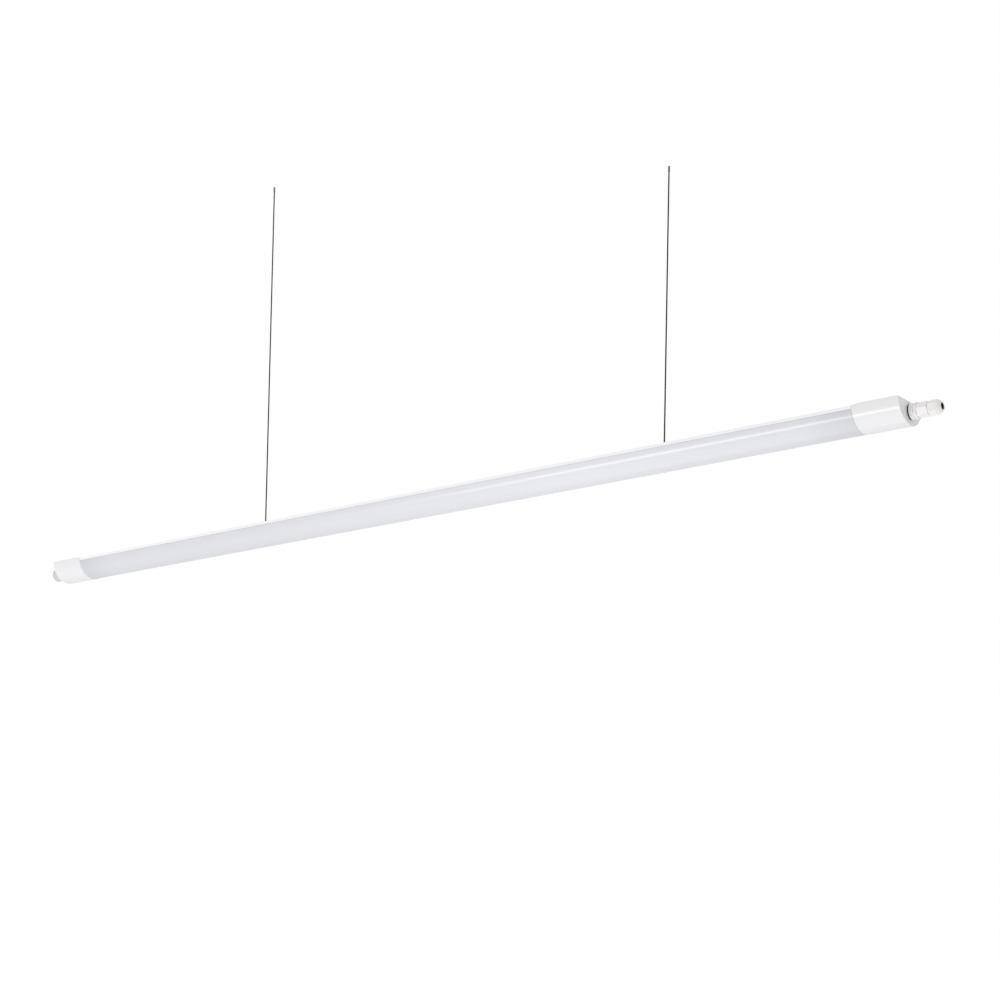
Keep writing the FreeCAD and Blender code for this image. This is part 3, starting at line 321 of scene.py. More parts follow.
# Hangers: under each wire a nickel-plated turned collar screws down on a sliding nut in the housing's slot,
# and between them they hold the polished ball at the wire's foot, which lets the wire lean.
BALL_RADIUS = 0.0028
BALL_STEPS = 24
SHANK_RADIUS = 0.0013
COLLAR_RADIUS = 0.0064
COLLAR_FOOT = 0.0003
COLLAR_TOP = 0.0087
COLLAR_BEVEL = 0.0004
COLLAR_THROAT = 0.0023
COLLAR_THROAT_LEVEL = 0.0051
COLLAR_MOUTH = 0.0034
SOCKET_RADIUS = 0.003
SOCKET_STEPS = 6
NECK_SPACE = 0.0039
KNURL_LOW = 0.0016
KNURL_HIGH = 0.0066
KNURL_COUNT = 24
KNURL_DEPTH = 0.0003
SLIDER_EDGE = 0.0003
TURNED_SIDES = 96

# How near two points count as one, and how near its place a point is picked.
TOUCH = 1e-6
HAIR = 1e-5

nickel = finish("nickel_plate", (0.62, 0.61, 0.59), 0.28, 1.0)
nickel_haze = pattern(nickel, (260, 260, 1400), Scale=1, Detail=3)
tint(nickel, nickel_haze, (0.52, 0.51, 0.49), (0.70, 0.69, 0.67))
gloss(nickel, nickel_haze, 0.22, 0.42)


def grooved(shape, low, high, least, most, depth, lead, starts):
    """Cuts grooves into a turned stretch's skin: a thread where they climb, grips where they run straight."""
    for vertex in shape.data.vertices:
        spot = vertex.co
        out = math.hypot(spot.x, spot.y)
        if low - TOUCH <= spot.z <= high + TOUCH and least <= out <= most:
            turn = math.atan2(spot.y, spot.x) / math.tau
            wave = 2 * abs((spot.z * lead - turn * starts) % 1 - 0.5)
            share = (out - depth * (1 - wave)) / out
            vertex.co = (spot.x * share, spot.y * share, spot.z)


def copy_of(node, name):
    """A new shape from a construction node's, merged and with its flat faces whole."""
    bpy.ops.object.select_all(action="DESELECT")
    shape = bpy.data.objects.new(name, nodes[node].data.copy())
    bpy.context.scene.collection.objects.link(shape)
    bpy.context.view_layer.objects.active = shape
    shape.select_set(True)
    bpy.ops.object.mode_set(mode="EDIT")
    bpy.ops.mesh.select_all(action="SELECT")
    bpy.ops.mesh.remove_doubles(threshold=TOUCH)
    bpy.ops.mesh.dissolve_limited(angle_limit=math.radians(1))
    bpy.ops.object.mode_set(mode="OBJECT")
    return shape


def bevelled(shape, width, steps=2, angle=40):
    """Rounds the edges of a shape by a small width."""
    edge = shape.modifiers.new("edge", "BEVEL")
    edge.width = width
    edge.segments = steps
    edge.limit_method = "ANGLE"
    edge.angle_limit = math.radians(angle)
    bpy.context.view_layer.objects.active = shape
    bpy.ops.object.modifier_apply(modifier=edge.name)
    smooth(shape)


rings = [(COLLAR_FOOT, NECK_SPACE), (COLLAR_FOOT, COLLAR_RADIUS - COLLAR_BEVEL),
         (COLLAR_FOOT + COLLAR_BEVEL, COLLAR_RADIUS), (KNURL_LOW - KNURL_DEPTH, COLLAR_RADIUS),
         (KNURL_LOW, COLLAR_RADIUS), (KNURL_HIGH, COLLAR_RADIUS), (KNURL_HIGH + KNURL_DEPTH, COLLAR_RADIUS),
         (COLLAR_TOP - COLLAR_BEVEL, COLLAR_RADIUS), (COLLAR_TOP, COLLAR_RADIUS - COLLAR_BEVEL),
         (COLLAR_TOP, COLLAR_MOUTH + COLLAR_BEVEL), (COLLAR_TOP - COLLAR_BEVEL, COLLAR_MOUTH),
         (COLLAR_THROAT_LEVEL, COLLAR_THROAT)]
for step in range(1, SOCKET_STEPS + 1):
    rise = (COLLAR_THROAT_LEVEL - BALL_LEVEL) * (1 - step / SOCKET_STEPS)
    rings.append((BALL_LEVEL + rise, math.sqrt(SOCKET_RADIUS ** 2 - rise ** 2)))
rings += [(BALL_LEVEL, NECK_SPACE), rings[0]]
collar = turned("collar", rings, TURNED_SIDES, hollow=True)
grooved(collar, KNURL_LOW, KNURL_HIGH, COLLAR_RADIUS - HAIR, COLLAR_RADIUS + HAIR, KNURL_DEPTH, 0,
        KNURL_COUNT)
smooth(collar)
places = [(f"hanger_collar_turned_{place}", f"hanger_collar_{place}", Matrix.Translation((foot_x, 0, 0)))
          for place, foot_x, side, length in WIRES]
set_in(collar, nickel, *places)

slider = copy_of("hanger_slider_left", "sliding_nut")
bevelled(slider, SLIDER_EDGE)
first_x = WIRES[0][1]
places = [(f"sliding_nut_{place}", f"hanger_slider_{place}", Matrix.Translation((foot_x - first_x, 0, 0)))
          for place, foot_x, side, length in WIRES]
set_in(slider, nickel, *places)

rings = []
for step in range(1, BALL_STEPS + 1):
    angle = math.pi - (math.pi - math.asin(SHANK_RADIUS / BALL_RADIUS)) * step / BALL_STEPS
    rings.append((BALL_RADIUS * math.cos(angle), BALL_RADIUS * math.sin(angle)))
rings += [(SHANK_LENGTH - COLLAR_BEVEL, SHANK_RADIUS), (SHANK_LENGTH, ROPE_RADIUS)]
ball = turned("ball_foot", rings, SMALL_SIDES)
smooth(ball)
places = [(f"ball_foot_{place}", f"wire_ball_{place}", on_wire(foot_x, side, 0))
          for place, foot_x, side, length in WIRES]
set_in(ball, nickel, *places)

# Housing: one length of extruded aluminium, powder-coated white, with a T-slot along its back, a narrow
# white edge band on each side and the die's small radius on every corner.
HOUSING_EDGE = 0.00025

powder_coat = finish("powder_coat", (0.88, 0.88, 0.895), 0.42)
orange_peel = pattern(powder_coat, (600, 600, 600), Scale=1, Detail=2)
tint(powder_coat, orange_peel, (0.865, 0.865, 0.88), (0.895, 0.895, 0.91))
gloss(powder_coat, orange_peel, 0.36, 0.48)
relief(powder_coat, orange_peel, 0.00002)

extrusion = copy_of("housing", "housing_extrusion")
bevelled(extrusion, HOUSING_EDGE)
dress(extrusion, "housing", powder_coat)

# Diffuser: a half-round shell of frosted plastic, extruded to the housing's length and snapped in behind its
# lips by a thin tongue along each edge. Its colour carries painted shade: a little darker towards both ends
# and away from a brightest place along its length.
TUBE_RADIUS = 0.03116
TUBE_CENTRE = 0.00316
DIFFUSER_WALL = 0.002
DIFFUSER_EDGE = 0.00415
LIP_THICKNESS = 0.00235
ROUND_SIDES = 256
EDGE_ROUNDING = 0.0003
SQUARE_ON = 0.9
# Painted shade on the diffuser: its colour falls off towards both ends, and along its length from a brightest
# place that far along X towards the gland.
END_PAINTED_SHADE = ((0.60, 1.0), (0.70, 0.90))
PAINTED_BRIGHTEST_AT = 0.25
LONG_PAINTED_SHADE = ((0.0, 0.99), (0.55, 0.922))

frosted = finish("frosted_plastic", (0.745, 0.755, 0.79), 0.23)
frost_streaks = pattern(frosted, (2.5, 420, 420), Scale=1, Detail=4)
tint(frosted, frost_streaks, (0.74, 0.75, 0.785), (0.75, 0.76, 0.795))
gloss(frosted, frost_streaks, 0.222, 0.238)


def paint_shade_along(material, middle, near, far, ease):
    """Paints shade into a material's colour: multiplies it by a share that changes with the distance along X
    from a middle.
    """
    tree = material.node_tree
    place = tree.nodes.new("ShaderNodeTexCoord")
    split = tree.nodes.new("ShaderNodeSeparateXYZ")
    offset = tree.nodes.new("ShaderNodeMath")
    offset.operation = "SUBTRACT"
    offset.inputs[1].default_value = middle
    distance = tree.nodes.new("ShaderNodeMath")
    distance.operation = "ABSOLUTE"
    fade = tree.nodes.new("ShaderNodeMapRange")
    fade.interpolation_type = ease
    fade.inputs["From Min"].default_value = near[0]
    fade.inputs["From Max"].default_value = far[0]
    fade.inputs["To Min"].default_value = near[1]
    fade.inputs["To Max"].default_value = far[1]
    shaded = tree.nodes.new("ShaderNodeVectorMath")
    shaded.operation = "SCALE"
    colour = tree.nodes["Principled BSDF"].inputs["Base Color"]
    tree.links.new(place.outputs["Object"], split.inputs["Vector"])
    tree.links.new(split.outputs["X"], offset.inputs[0])
    tree.links.new(offset.outputs["Value"], distance.inputs[0])
    tree.links.new(distance.outputs["Value"], fade.inputs["Value"])
    tree.links.new(colour.links[0].from_socket, shaded.inputs[0])
    tree.links.new(fade.outputs["Result"], shaded.inputs["Scale"])
    tree.links.new(shaded.outputs["Vector"], colour)


# Painted shade: these two steps darken the diffuser's colour towards its ends and away from its brightest
# place.
paint_shade_along(frosted, 0, *END_PAINTED_SHADE, "SMOOTHSTEP")
paint_shade_along(frosted, PAINTED_BRIGHTEST_AT, *LONG_PAINTED_SHADE, "LINEAR")
frost_grain = pattern(frosted, (2600, 2600, 2600), Scale=1, Detail=1)
relief(frosted, frost_grain, 0.00001)


def pick(kind, wanted):
    """In edit mode, selects the faces or edges whose middle and whose normal or way pass a test."""
    bpy.ops.mesh.select_mode(type=kind)
    bpy.ops.mesh.select_all(action="DESELECT")
    mesh = bpy.context.object.data
    shape = bmesh.from_edit_mesh(mesh)
    if kind == "FACE":
        for face in shape.faces:
            face.select_set(bool(wanted(face.calc_center_median(), face.normal)))
    else:
        for edge in shape.edges:
            ends = [vertex.co for vertex in edge.verts]
            edge.select_set(bool(wanted((ends[0] + ends[1]) / 2, (ends[1] - ends[0]).normalized())))
    shape.select_flush_mode()
    bmesh.update_edit_mesh(mesh)


def round_bar(name, radius, low, high, level, sides=ROUND_SIDES):
    """A round bar along X, in edit mode with all of it selected."""
    bpy.ops.object.select_all(action="DESELECT")
    bpy.ops.mesh.primitive_cylinder_add(vertices=sides, radius=radius, depth=high - low,
                                        location=((low + high) / 2, 0, level), rotation=(0, math.pi / 2, 0))
    shape = bpy.context.object
    shape.name = name
    bpy.ops.object.transform_apply(location=True, rotation=True, scale=True)
    bpy.ops.object.mode_set(mode="EDIT")
    bpy.ops.mesh.select_all(action="SELECT")
    return shape


def cut_off(place, outwards):
    """In edit mode, cuts all of a shape along a plane and takes away what lies on its outer side."""
    bpy.ops.mesh.select_all(action="SELECT")
    bpy.ops.mesh.bisect(plane_co=place, plane_no=outwards, use_fill=True, clear_outer=True, threshold=TOUCH)
    bpy.ops.mesh.select_all(action="SELECT")
    bpy.ops.mesh.normals_make_consistent(inside=False)


diffuser_low, diffuser_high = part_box("diffuser")
shell = round_bar("frosted_shell", TUBE_RADIUS, diffuser_low.x, diffuser_high.x, TUBE_CENTRE)
pick("FACE", lambda middle, normal: abs(normal.x) > SQUARE_ON)
bpy.ops.mesh.delete(type="ONLY_FACE")
bpy.ops.object.mode_set(mode="OBJECT")
wall = shell.modifiers.new("wall", "SOLIDIFY")
wall.thickness = DIFFUSER_WALL
wall.offset = -1
bpy.ops.object.modifier_apply(modifier=wall.name)
bpy.ops.object.mode_set(mode="EDIT")
cut_off((0, 0, -DIFFUSER_EDGE), (0, 0, 1))
edge_out = math.sqrt(TUBE_RADIUS ** 2 - (TUBE_CENTRE + DIFFUSER_EDGE) ** 2)
tongue_out = edge_out - LIP_THICKNESS + EDGE_ROUNDING
for across in (1, -1):
    pick("FACE", lambda middle, normal: normal.z > SQUARE_ON and middle.z > -DIFFUSER_EDGE - HAIR)
    bpy.ops.mesh.bisect(plane_co=(0, across * tongue_out, 0), plane_no=(0, 1, 0), threshold=TOUCH)
    pick("FACE", lambda middle, normal: normal.z > SQUARE_ON and middle.z > -DIFFUSER_EDGE - HAIR
         and 0 < across * middle.y < tongue_out)
    bpy.ops.mesh.extrude_region_move(
        TRANSFORM_OT_translate={"value": (0, 0, diffuser_high.z + DIFFUSER_EDGE)})
pick("EDGE", lambda middle, way: abs(middle.z + DIFFUSER_EDGE) < HAIR and abs(way.x) > SQUARE_ON
     and abs(middle.y) > edge_out - 10 * HAIR)
bpy.ops.mesh.bevel(offset=EDGE_ROUNDING, segments=2)
bpy.ops.object.mode_set(mode="OBJECT")
smooth(shell)
dress(shell, "diffuser", frosted)

# End caps: injection-moulded white plastic, D-shaped like the tube, a little proud of it, with a ramp up from
# the back, a sleeve inside the diffuser's end and a boss with the gland's thread. Two screws hold each.
CAP_SIDES = 150
CAP_PROUD = 0.0004
CAP_RISE = 0.0016
CAP_LIP = 0.0005
CAP_RAMP = 0.010
CAP_LENGTH = 0.062
CAP_WALL = 0.003
CAP_ROUNDING = 0.001
CAP_BACK_ROUNDING = 0.0006
CAP_END = 0.750
MOUTH = CAP_END - CAP_LENGTH
MOUTH_ROUNDING = 0.0003
SPIGOT_OUT = 0.02901
SPIGOT_WALL = 0.0012
SPIGOT_LENGTH = 0.012
SPIGOT_ROOT = 0.010
SPIGOT_TOP = -0.008
BOSS_RADIUS = 0.011
BOSS_LENGTH = 0.005
BORE_RADIUS = 0.00775
GLAND_LEVEL = -0.0115
CAP_SCREW_X = 0.702
CAP_SCREW_Y = 0.012
CAP_HOLE = 0.00165

# The near end's pieces stay where they are made, and the far end's are turned half round.
NEAR = Matrix()
FAR = Matrix.Rotation(math.pi, 4, "Z")

moulded = finish("moulded_white", (0.81, 0.811, 0.823), 0.22)
mould_flow = pattern(moulded, (30, 30, 30), Scale=1, Detail=3)
tint(moulded, mould_flow, (0.80, 0.801, 0.813), (0.82, 0.821, 0.833))
gloss(moulded, mould_flow, 0.2, 0.24)
mould_skin = pattern(moulded, (1500, 1500, 1500), Scale=1, Detail=1)
relief(moulded, mould_skin, 0.000006)


def combine(shape, tool, way):
    """Cuts a shape with a tool or joins the tool to it, and takes the tool away."""
    bpy.context.view_layer.objects.active = shape
    step = shape.modifiers.new("combine", "BOOLEAN")
    step.object = tool
    step.operation = way
    step.solver = "EXACT"
    bpy.ops.object.modifier_apply(modifier=step.name)
    bpy.data.objects.remove(tool)


cap = round_bar("cap", TUBE_RADIUS + CAP_PROUD, MOUTH, CAP_END, TUBE_CENTRE, CAP_SIDES)
cut_off((0, 0, CAP_RISE), (0, 0, 1))
pick("EDGE", lambda middle, way: middle.x > CAP_END - HAIR)
bpy.ops.mesh.bevel(offset=CAP_ROUNDING, segments=5)
pick("EDGE", lambda middle, way: middle.z > CAP_RISE - HAIR and abs(way.x) > SQUARE_ON
     and abs(middle.y) > CAP_WALL)
bpy.ops.mesh.bevel(offset=CAP_BACK_ROUNDING, segments=3)
cut_off((MOUTH, 0, CAP_LIP), (CAP_LIP - CAP_RISE, 0, CAP_RAMP))
pick("EDGE", lambda middle, way: middle.x < MOUTH + HAIR)
bpy.ops.mesh.bevel(offset=MOUTH_ROUNDING, segments=2)
bpy.ops.object.mode_set(mode="OBJECT")

hollow = round_bar("hollow", TUBE_RADIUS - CAP_WALL, MOUTH - CAP_LENGTH, CAP_END - CAP_WALL, TUBE_CENTRE)
cut_off((0, 0, 0), (0, 0, 1))
bpy.ops.object.mode_set(mode="OBJECT")
combine(cap, hollow, "DIFFERENCE")

spigot = round_bar("spigot", SPIGOT_OUT, MOUTH - SPIGOT_LENGTH, MOUTH + SPIGOT_ROOT, TUBE_CENTRE)
cut_off((0, 0, SPIGOT_TOP), (0, 0, 1))
bpy.ops.object.mode_set(mode="OBJECT")
inside = round_bar("inside", SPIGOT_OUT - SPIGOT_WALL, MOUTH - CAP_LENGTH, CAP_END, TUBE_CENTRE)
bpy.ops.object.mode_set(mode="OBJECT")
combine(spigot, inside, "DIFFERENCE")
combine(cap, spigot, "UNION")

boss = round_bar("boss", BOSS_RADIUS, CAP_END - CAP_WALL - BOSS_LENGTH, CAP_END - CAP_WALL / 2, GLAND_LEVEL,
                 TURNED_SIDES)
bpy.ops.object.mode_set(mode="OBJECT")
combine(cap, boss, "UNION")
bore = round_bar("bore", BORE_RADIUS, MOUTH, CAP_END + CAP_WALL, GLAND_LEVEL, TURNED_SIDES)
bpy.ops.object.mode_set(mode="OBJECT")
combine(cap, bore, "DIFFERENCE")
for across in (1, -1):
    bpy.ops.mesh.primitive_cylinder_add(vertices=SMALL_SIDES, radius=CAP_HOLE, depth=CAP_WALL,
                                        location=(CAP_SCREW_X, across * CAP_SCREW_Y, CAP_RISE / 2))
    combine(cap, bpy.context.object, "DIFFERENCE")
smooth(cap)
set_in(cap, moulded, ("moulded_cap_near", "end_cap_near", NEAR), ("moulded_cap_far", "end_cap_far", FAR))

# Gaskets: D-shaped rings cut from pale silicone sheet, pressed between each cap's mouth and the diffuser's
# end and a little smaller than both.
GASKET_OUT = 0.03076
GASKET_IN = 0.02926
GASKET_THICKNESS = 0.001
GASKET_TOP = -0.0004
GASKET_EDGE = 0.0002

silicone = finish("silicone", (0.80, 0.80, 0.81), 0.55)
silicone_bloom = pattern(silicone, (500, 500, 500), Scale=1, Detail=3)
tint(silicone, silicone_bloom, (0.77, 0.77, 0.78), (0.83, 0.83, 0.84))
gloss(silicone, silicone_bloom, 0.48, 0.64)

gasket = round_bar("gasket", GASKET_OUT, MOUTH - GASKET_THICKNESS, MOUTH, TUBE_CENTRE)
cut_off((0, 0, GASKET_TOP), (0, 0, 1))
bpy.ops.object.mode_set(mode="OBJECT")
inside = round_bar("inside", GASKET_IN, MOUTH - CAP_LENGTH, CAP_END, TUBE_CENTRE)
bpy.ops.object.mode_set(mode="OBJECT")
combine(gasket, inside, "DIFFERENCE")
bevelled(gasket, GASKET_EDGE)
set_in(gasket, silicone, ("gasket_near", "cap_gasket_near", NEAR), ("gasket_far", "cap_gasket_far", FAR))

# Cap screws: two small pan-head screws of bright zinc-plated steel with a hexagon socket hold each cap to the
# housing's back.
SCREW_RADIUS = 0.0015
SCREW_FOOT = -0.0044
SCREW_PITCH = 0.0007
SCREW_DEPTH = 0.00025
HEAD_RADIUS = 0.00275
HEAD_HEIGHT = 0.0019
HEAD_STEPS = 5
HEAD_CROWN = 0.4
SOCKET_CORNER = 0.00125
SOCKET_DEPTH = 0.001

zinc = finish("zinc_plate", (0.66, 0.67, 0.69), 0.3, 1.0)
zinc_haze = pattern(zinc, (800, 800, 800), Scale=1, Detail=4)
tint(zinc, zinc_haze, (0.56, 0.57, 0.59), (0.72, 0.73, 0.75))
gloss(zinc, zinc_haze, 0.24, 0.44)


def rows(low, high, radius, spacing):
    """Even rings from one height to another, close enough together for a thread."""
    count = round(abs(high - low) / spacing)
    return [(low + (high - low) * step / count, radius) for step in range(count + 1)]


rings = [(SCREW_FOOT, SCREW_RADIUS - SCREW_DEPTH)]
rings += rows(SCREW_FOOT + SCREW_DEPTH, CAP_RISE - SCREW_PITCH, SCREW_RADIUS, SCREW_PITCH / 6)
rings += [(CAP_RISE, SCREW_RADIUS), (CAP_RISE, HEAD_RADIUS)]
for step in range(HEAD_STEPS + 1):
    angle = math.pi / 2 * step / HEAD_STEPS
    rings.append((CAP_RISE + HEAD_HEIGHT - HEAD_RADIUS * HEAD_CROWN * (1 - math.sin(angle)),
                  HEAD_RADIUS * (1 - HEAD_CROWN * (1 - math.cos(angle)))))
screw = turned("screw", rings, SMALL_SIDES)
grooved(screw, SCREW_FOOT + SCREW_DEPTH, CAP_RISE - SCREW_PITCH, SCREW_RADIUS - HAIR, SCREW_RADIUS + HAIR,
        SCREW_DEPTH, 1 / SCREW_PITCH, 1)
bpy.ops.mesh.primitive_cylinder_add(vertices=6, radius=SOCKET_CORNER, depth=2 * SOCKET_DEPTH,
                                    location=(0, 0, CAP_RISE + HEAD_HEIGHT))
combine(screw, bpy.context.object, "DIFFERENCE")
for place, side in (("near", 1), ("far", -1)):
    pair = [placed(screw, f"pan_heads_{place}", Matrix.Translation((side * CAP_SCREW_X, across, 0)))
            for across in (CAP_SCREW_Y, -CAP_SCREW_Y)]
    bpy.ops.object.select_all(action="DESELECT")
    for head in pair:
        head.select_set(True)
    bpy.context.view_layer.objects.active = pair[0]
    bpy.ops.object.join()
    smooth(pair[0])
    dress(pair[0], f"cap_screws_{place}", zinc)
bpy.data.objects.remove(screw)

# Seal washers: moulded rings of soft black rubber with rounded rims, squeezed between each cap's end face and
# the gland or the plug that screws into it.
SEAL_RADIUS = 0.0096
SEAL_THICKNESS = 0.002
SEAL_ROUNDING = 0.0005
FINE_SIDES = 180

# What is turned about Z is laid along X and stood on a cap's end face, in line with the cap's bore.
LAID = Matrix(((0, 0, 1, 0), (1, 0, 0, 0), (0, 1, 0, 0), (0, 0, 0, 1)))
NEAR_STAND = Matrix.Translation((CAP_END, 0, GLAND_LEVEL)) @ LAID
FAR_STAND = FAR @ NEAR_STAND

black_rubber = finish("black_rubber", (0.022, 0.022, 0.023), 0.6)
rubber_bloom = pattern(black_rubber, (700, 700, 700), Scale=1, Detail=4)
tint(black_rubber, rubber_bloom, (0.015, 0.015, 0.016), (0.034, 0.034, 0.035))
gloss(black_rubber, rubber_bloom, 0.5, 0.72)
relief(black_rubber, rubber_bloom, 0.00003)


def rounded(height, radius, inwards, upwards, size, steps=4):
    """Rings round an edge: from the flat side to the round side, or back where the edge is an upper one."""
    arc = []
    for step in range(steps + 1):
        angle = math.pi / 2 * step / steps
        arc.append((height + upwards * size * (1 - math.cos(angle)),
                    radius - inwards * size * (1 - math.sin(angle))))
    return arc if upwards > 0 else arc[::-1]


rings = [(0, BORE_RADIUS)]
rings += rounded(0, SEAL_RADIUS, 1, 1, SEAL_ROUNDING)
rings += rounded(SEAL_THICKNESS, SEAL_RADIUS, 1, -1, SEAL_ROUNDING)
rings += [(SEAL_THICKNESS, BORE_RADIUS), rings[0]]
washer = turned("washer", rings, FINE_SIDES, hollow=True)
smooth(washer)
set_in(washer, black_rubber, ("seal_washer_near", "gland_seal", NEAR_STAND),
       ("seal_washer_far", "plug_seal", FAR_STAND))

# Gland locknut: one moulding of white nylon, a round flange that presses on the seal and a hexagon for the
# spanner, both with broken edges.
LOCKNUT_FLANGE = 0.0042
LOCKNUT_FRONT = 0.0074
LOCKNUT_FLATS = 0.0185
LOCKNUT_TURN = 12
LOCKNUT_EASE = 0.0008
FLANGE_RADIUS = 0.0104
EDGE_BREAK = 0.0003
FACE_STEP = 0.00001
CORNER_STEPS = 5

nylon = finish("moulded_nylon", (0.865, 0.85, 0.85), 0.36)
nylon_flow = pattern(nylon, (90, 90, 90), Scale=1, Detail=3)
tint(nylon, nylon_flow, (0.85, 0.835, 0.835), (0.88, 0.865, 0.865))
gloss(nylon, nylon_flow, 0.33, 0.46)
nylon_skin = pattern(nylon, (2200, 2200, 2200), Scale=1, Detail=1)
relief(nylon, nylon_skin, 0.00001)


def hexagonal(shape, low, high, flats, turn):
    """Pulls what stands outside a hexagon's flats in to them, between two heights of a turned shape."""
    for vertex in shape.data.vertices:
        spot = vertex.co
        out = math.hypot(spot.x, spot.y)
        if low - TOUCH <= spot.z <= high + TOUCH and out > flats / 2:
            angle = math.degrees(math.atan2(spot.y, spot.x)) - turn
            off_flat = (angle % 60) - 30
            allowed = flats / 2 / math.cos(math.radians(off_flat))
            if out > allowed:
                share = allowed / out
                vertex.co = (spot.x * share, spot.y * share, spot.z)


def corner_bevel(height, outer, inner, rise):
    """Rings of the cone that breaks a hexagon's corners, from an outer radius at a height to an inner one."""
    return [(height + rise * step / CORNER_STEPS, outer + (inner - outer) * step / CORNER_STEPS)
            for step in range(CORNER_STEPS + 1)]


def hexagon(flats):
    """A hexagon's radius at its corners, and how far they stand out past its flats."""
    corner = flats / math.sqrt(3)
    return corner, corner - flats / 2


corner, bevel = hexagon(LOCKNUT_FLATS)
rings = [(SEAL_THICKNESS, BORE_RADIUS)]
rings += rounded(SEAL_THICKNESS, FLANGE_RADIUS, 1, 1, EDGE_BREAK, 2)
rings += rounded(LOCKNUT_FLANGE, FLANGE_RADIUS, 1, -1, EDGE_BREAK, 2)
rings.append((LOCKNUT_FLANGE + FACE_STEP, FLANGE_RADIUS))
rings += corner_bevel(LOCKNUT_FRONT - bevel, corner, LOCKNUT_FLATS / 2 - LOCKNUT_EASE, bevel)
rings += [(LOCKNUT_FRONT, BORE_RADIUS), rings[0]]
locknut = turned("locknut", rings, FINE_SIDES, hollow=True)
hexagonal(locknut, LOCKNUT_FLANGE + FACE_STEP, LOCKNUT_FRONT, LOCKNUT_FLATS, LOCKNUT_TURN)
smooth(locknut)
set_in(locknut, nylon, ("moulded_locknut", "gland_locknut", NEAR_STAND))

# Gland body: one nylon moulding with the cap's thread at the back, a round flange, the spanner hexagon, the
# dome nut's thread and, in front, eight springy fingers parted by slots, which press on the rubber insert.
THREAD_RADIUS = 0.0076
THREAD_FOOT = -0.008
THREAD_PITCH = 0.0015
THREAD_DEPTH = 0.0005
THREAD_ROW = 0.00025
FLANGE_BACK = 0.008
FLANGE_FRONT = 0.0104
GRIP_FRONT = 0.0244
GRIP_FLATS = 0.0166
BODY_TURN = 58
NUT_THREAD_RADIUS = 0.0071
NUT_THREAD_END = 0.0324
FINGER_RADIUS = 0.0065
FINGER_BEND = 0.0342
FINGER_FRONT = 0.036
FINGER_TIP = 0.0059
FINGERS = 8
FINGER_SLOT = 0.001
INSERT_BORE = 0.0054
INSERT_SEAT = 0.0235
PASSAGE_RADIUS = 0.0044

corner, bevel = hexagon(GRIP_FLATS)
rings = [(THREAD_FOOT, PASSAGE_RADIUS), (THREAD_FOOT, THREAD_RADIUS - THREAD_DEPTH)]
rings += rows(THREAD_FOOT + THREAD_DEPTH, FLANGE_BACK - THREAD_PITCH, THREAD_RADIUS, THREAD_ROW)
rings.append((FLANGE_BACK, THREAD_RADIUS))
rings += rounded(FLANGE_BACK, FLANGE_RADIUS, 1, 1, EDGE_BREAK, 2)
rings += rounded(FLANGE_FRONT, FLANGE_RADIUS, 1, -1, EDGE_BREAK, 2)
rings.append((FLANGE_FRONT + FACE_STEP, corner))
rings += corner_bevel(GRIP_FRONT - bevel / 2, corner, corner - bevel / 2, bevel / 2)
rings.append((GRIP_FRONT, NUT_THREAD_RADIUS))
rings += rows(GRIP_FRONT + THREAD_PITCH / 2, NUT_THREAD_END - THREAD_DEPTH, NUT_THREAD_RADIUS, THREAD_ROW)
rings += [(NUT_THREAD_END, NUT_THREAD_RADIUS - THREAD_DEPTH), (NUT_THREAD_END, FINGER_RADIUS),
          (FINGER_BEND, FINGER_RADIUS), (FINGER_FRONT, FINGER_TIP), (FINGER_FRONT, INSERT_BORE),
          (INSERT_SEAT, INSERT_BORE), (INSERT_SEAT, PASSAGE_RADIUS), rings[0]]
gland = turned("gland", rings, FINE_SIDES, hollow=True)
hexagonal(gland, FLANGE_FRONT + FACE_STEP, GRIP_FRONT, GRIP_FLATS, BODY_TURN)
grooved(gland, THREAD_FOOT + THREAD_DEPTH, FLANGE_BACK - THREAD_PITCH, THREAD_RADIUS - HAIR,
        THREAD_RADIUS + HAIR, THREAD_DEPTH, 1 / THREAD_PITCH, 1)
grooved(gland, GRIP_FRONT + THREAD_PITCH / 2, NUT_THREAD_END - THREAD_DEPTH, NUT_THREAD_RADIUS - HAIR,
        NUT_THREAD_RADIUS + HAIR, THREAD_DEPTH, 1 / THREAD_PITCH, 1)
for cut in range(FINGERS // 2):
    bpy.ops.mesh.primitive_cube_add(size=1)
    slot = bpy.context.object
    slot.data.transform(Matrix.Rotation(math.tau * cut / FINGERS, 4, "Z")
                        @ Matrix.Translation((0, 0, NUT_THREAD_END + 2 * FINGER_SLOT))
                        @ Matrix.Diagonal((3 * FINGER_RADIUS, FINGER_SLOT, 4 * FINGER_SLOT, 1)))
    combine(gland, slot, "DIFFERENCE")
smooth(gland)
set_in(gland, nylon, ("moulded_gland", "gland_body", NEAR_STAND))

# Clamping insert: the soft black rubber sleeve that seals on the supply cable, with a tapered nose that runs
# out into the dome nut's mouth and small ribs in its bore.
INSERT_RADIUS = 0.0053
INSERT_BACK = 0.0238
INSERT_FRONT = 0.0378
INSERT_NOSE = 0.0027
INSERT_NECK = 0.00415
INSERT_TIP = 0.041
CABLE_RADIUS = 0.0037
RIBS = 7
RIB_DEPTH = 0.0003
RIB_FORM = ((0.15, 0), (0.45, 0), (0.6, 1), (0.9, 1))

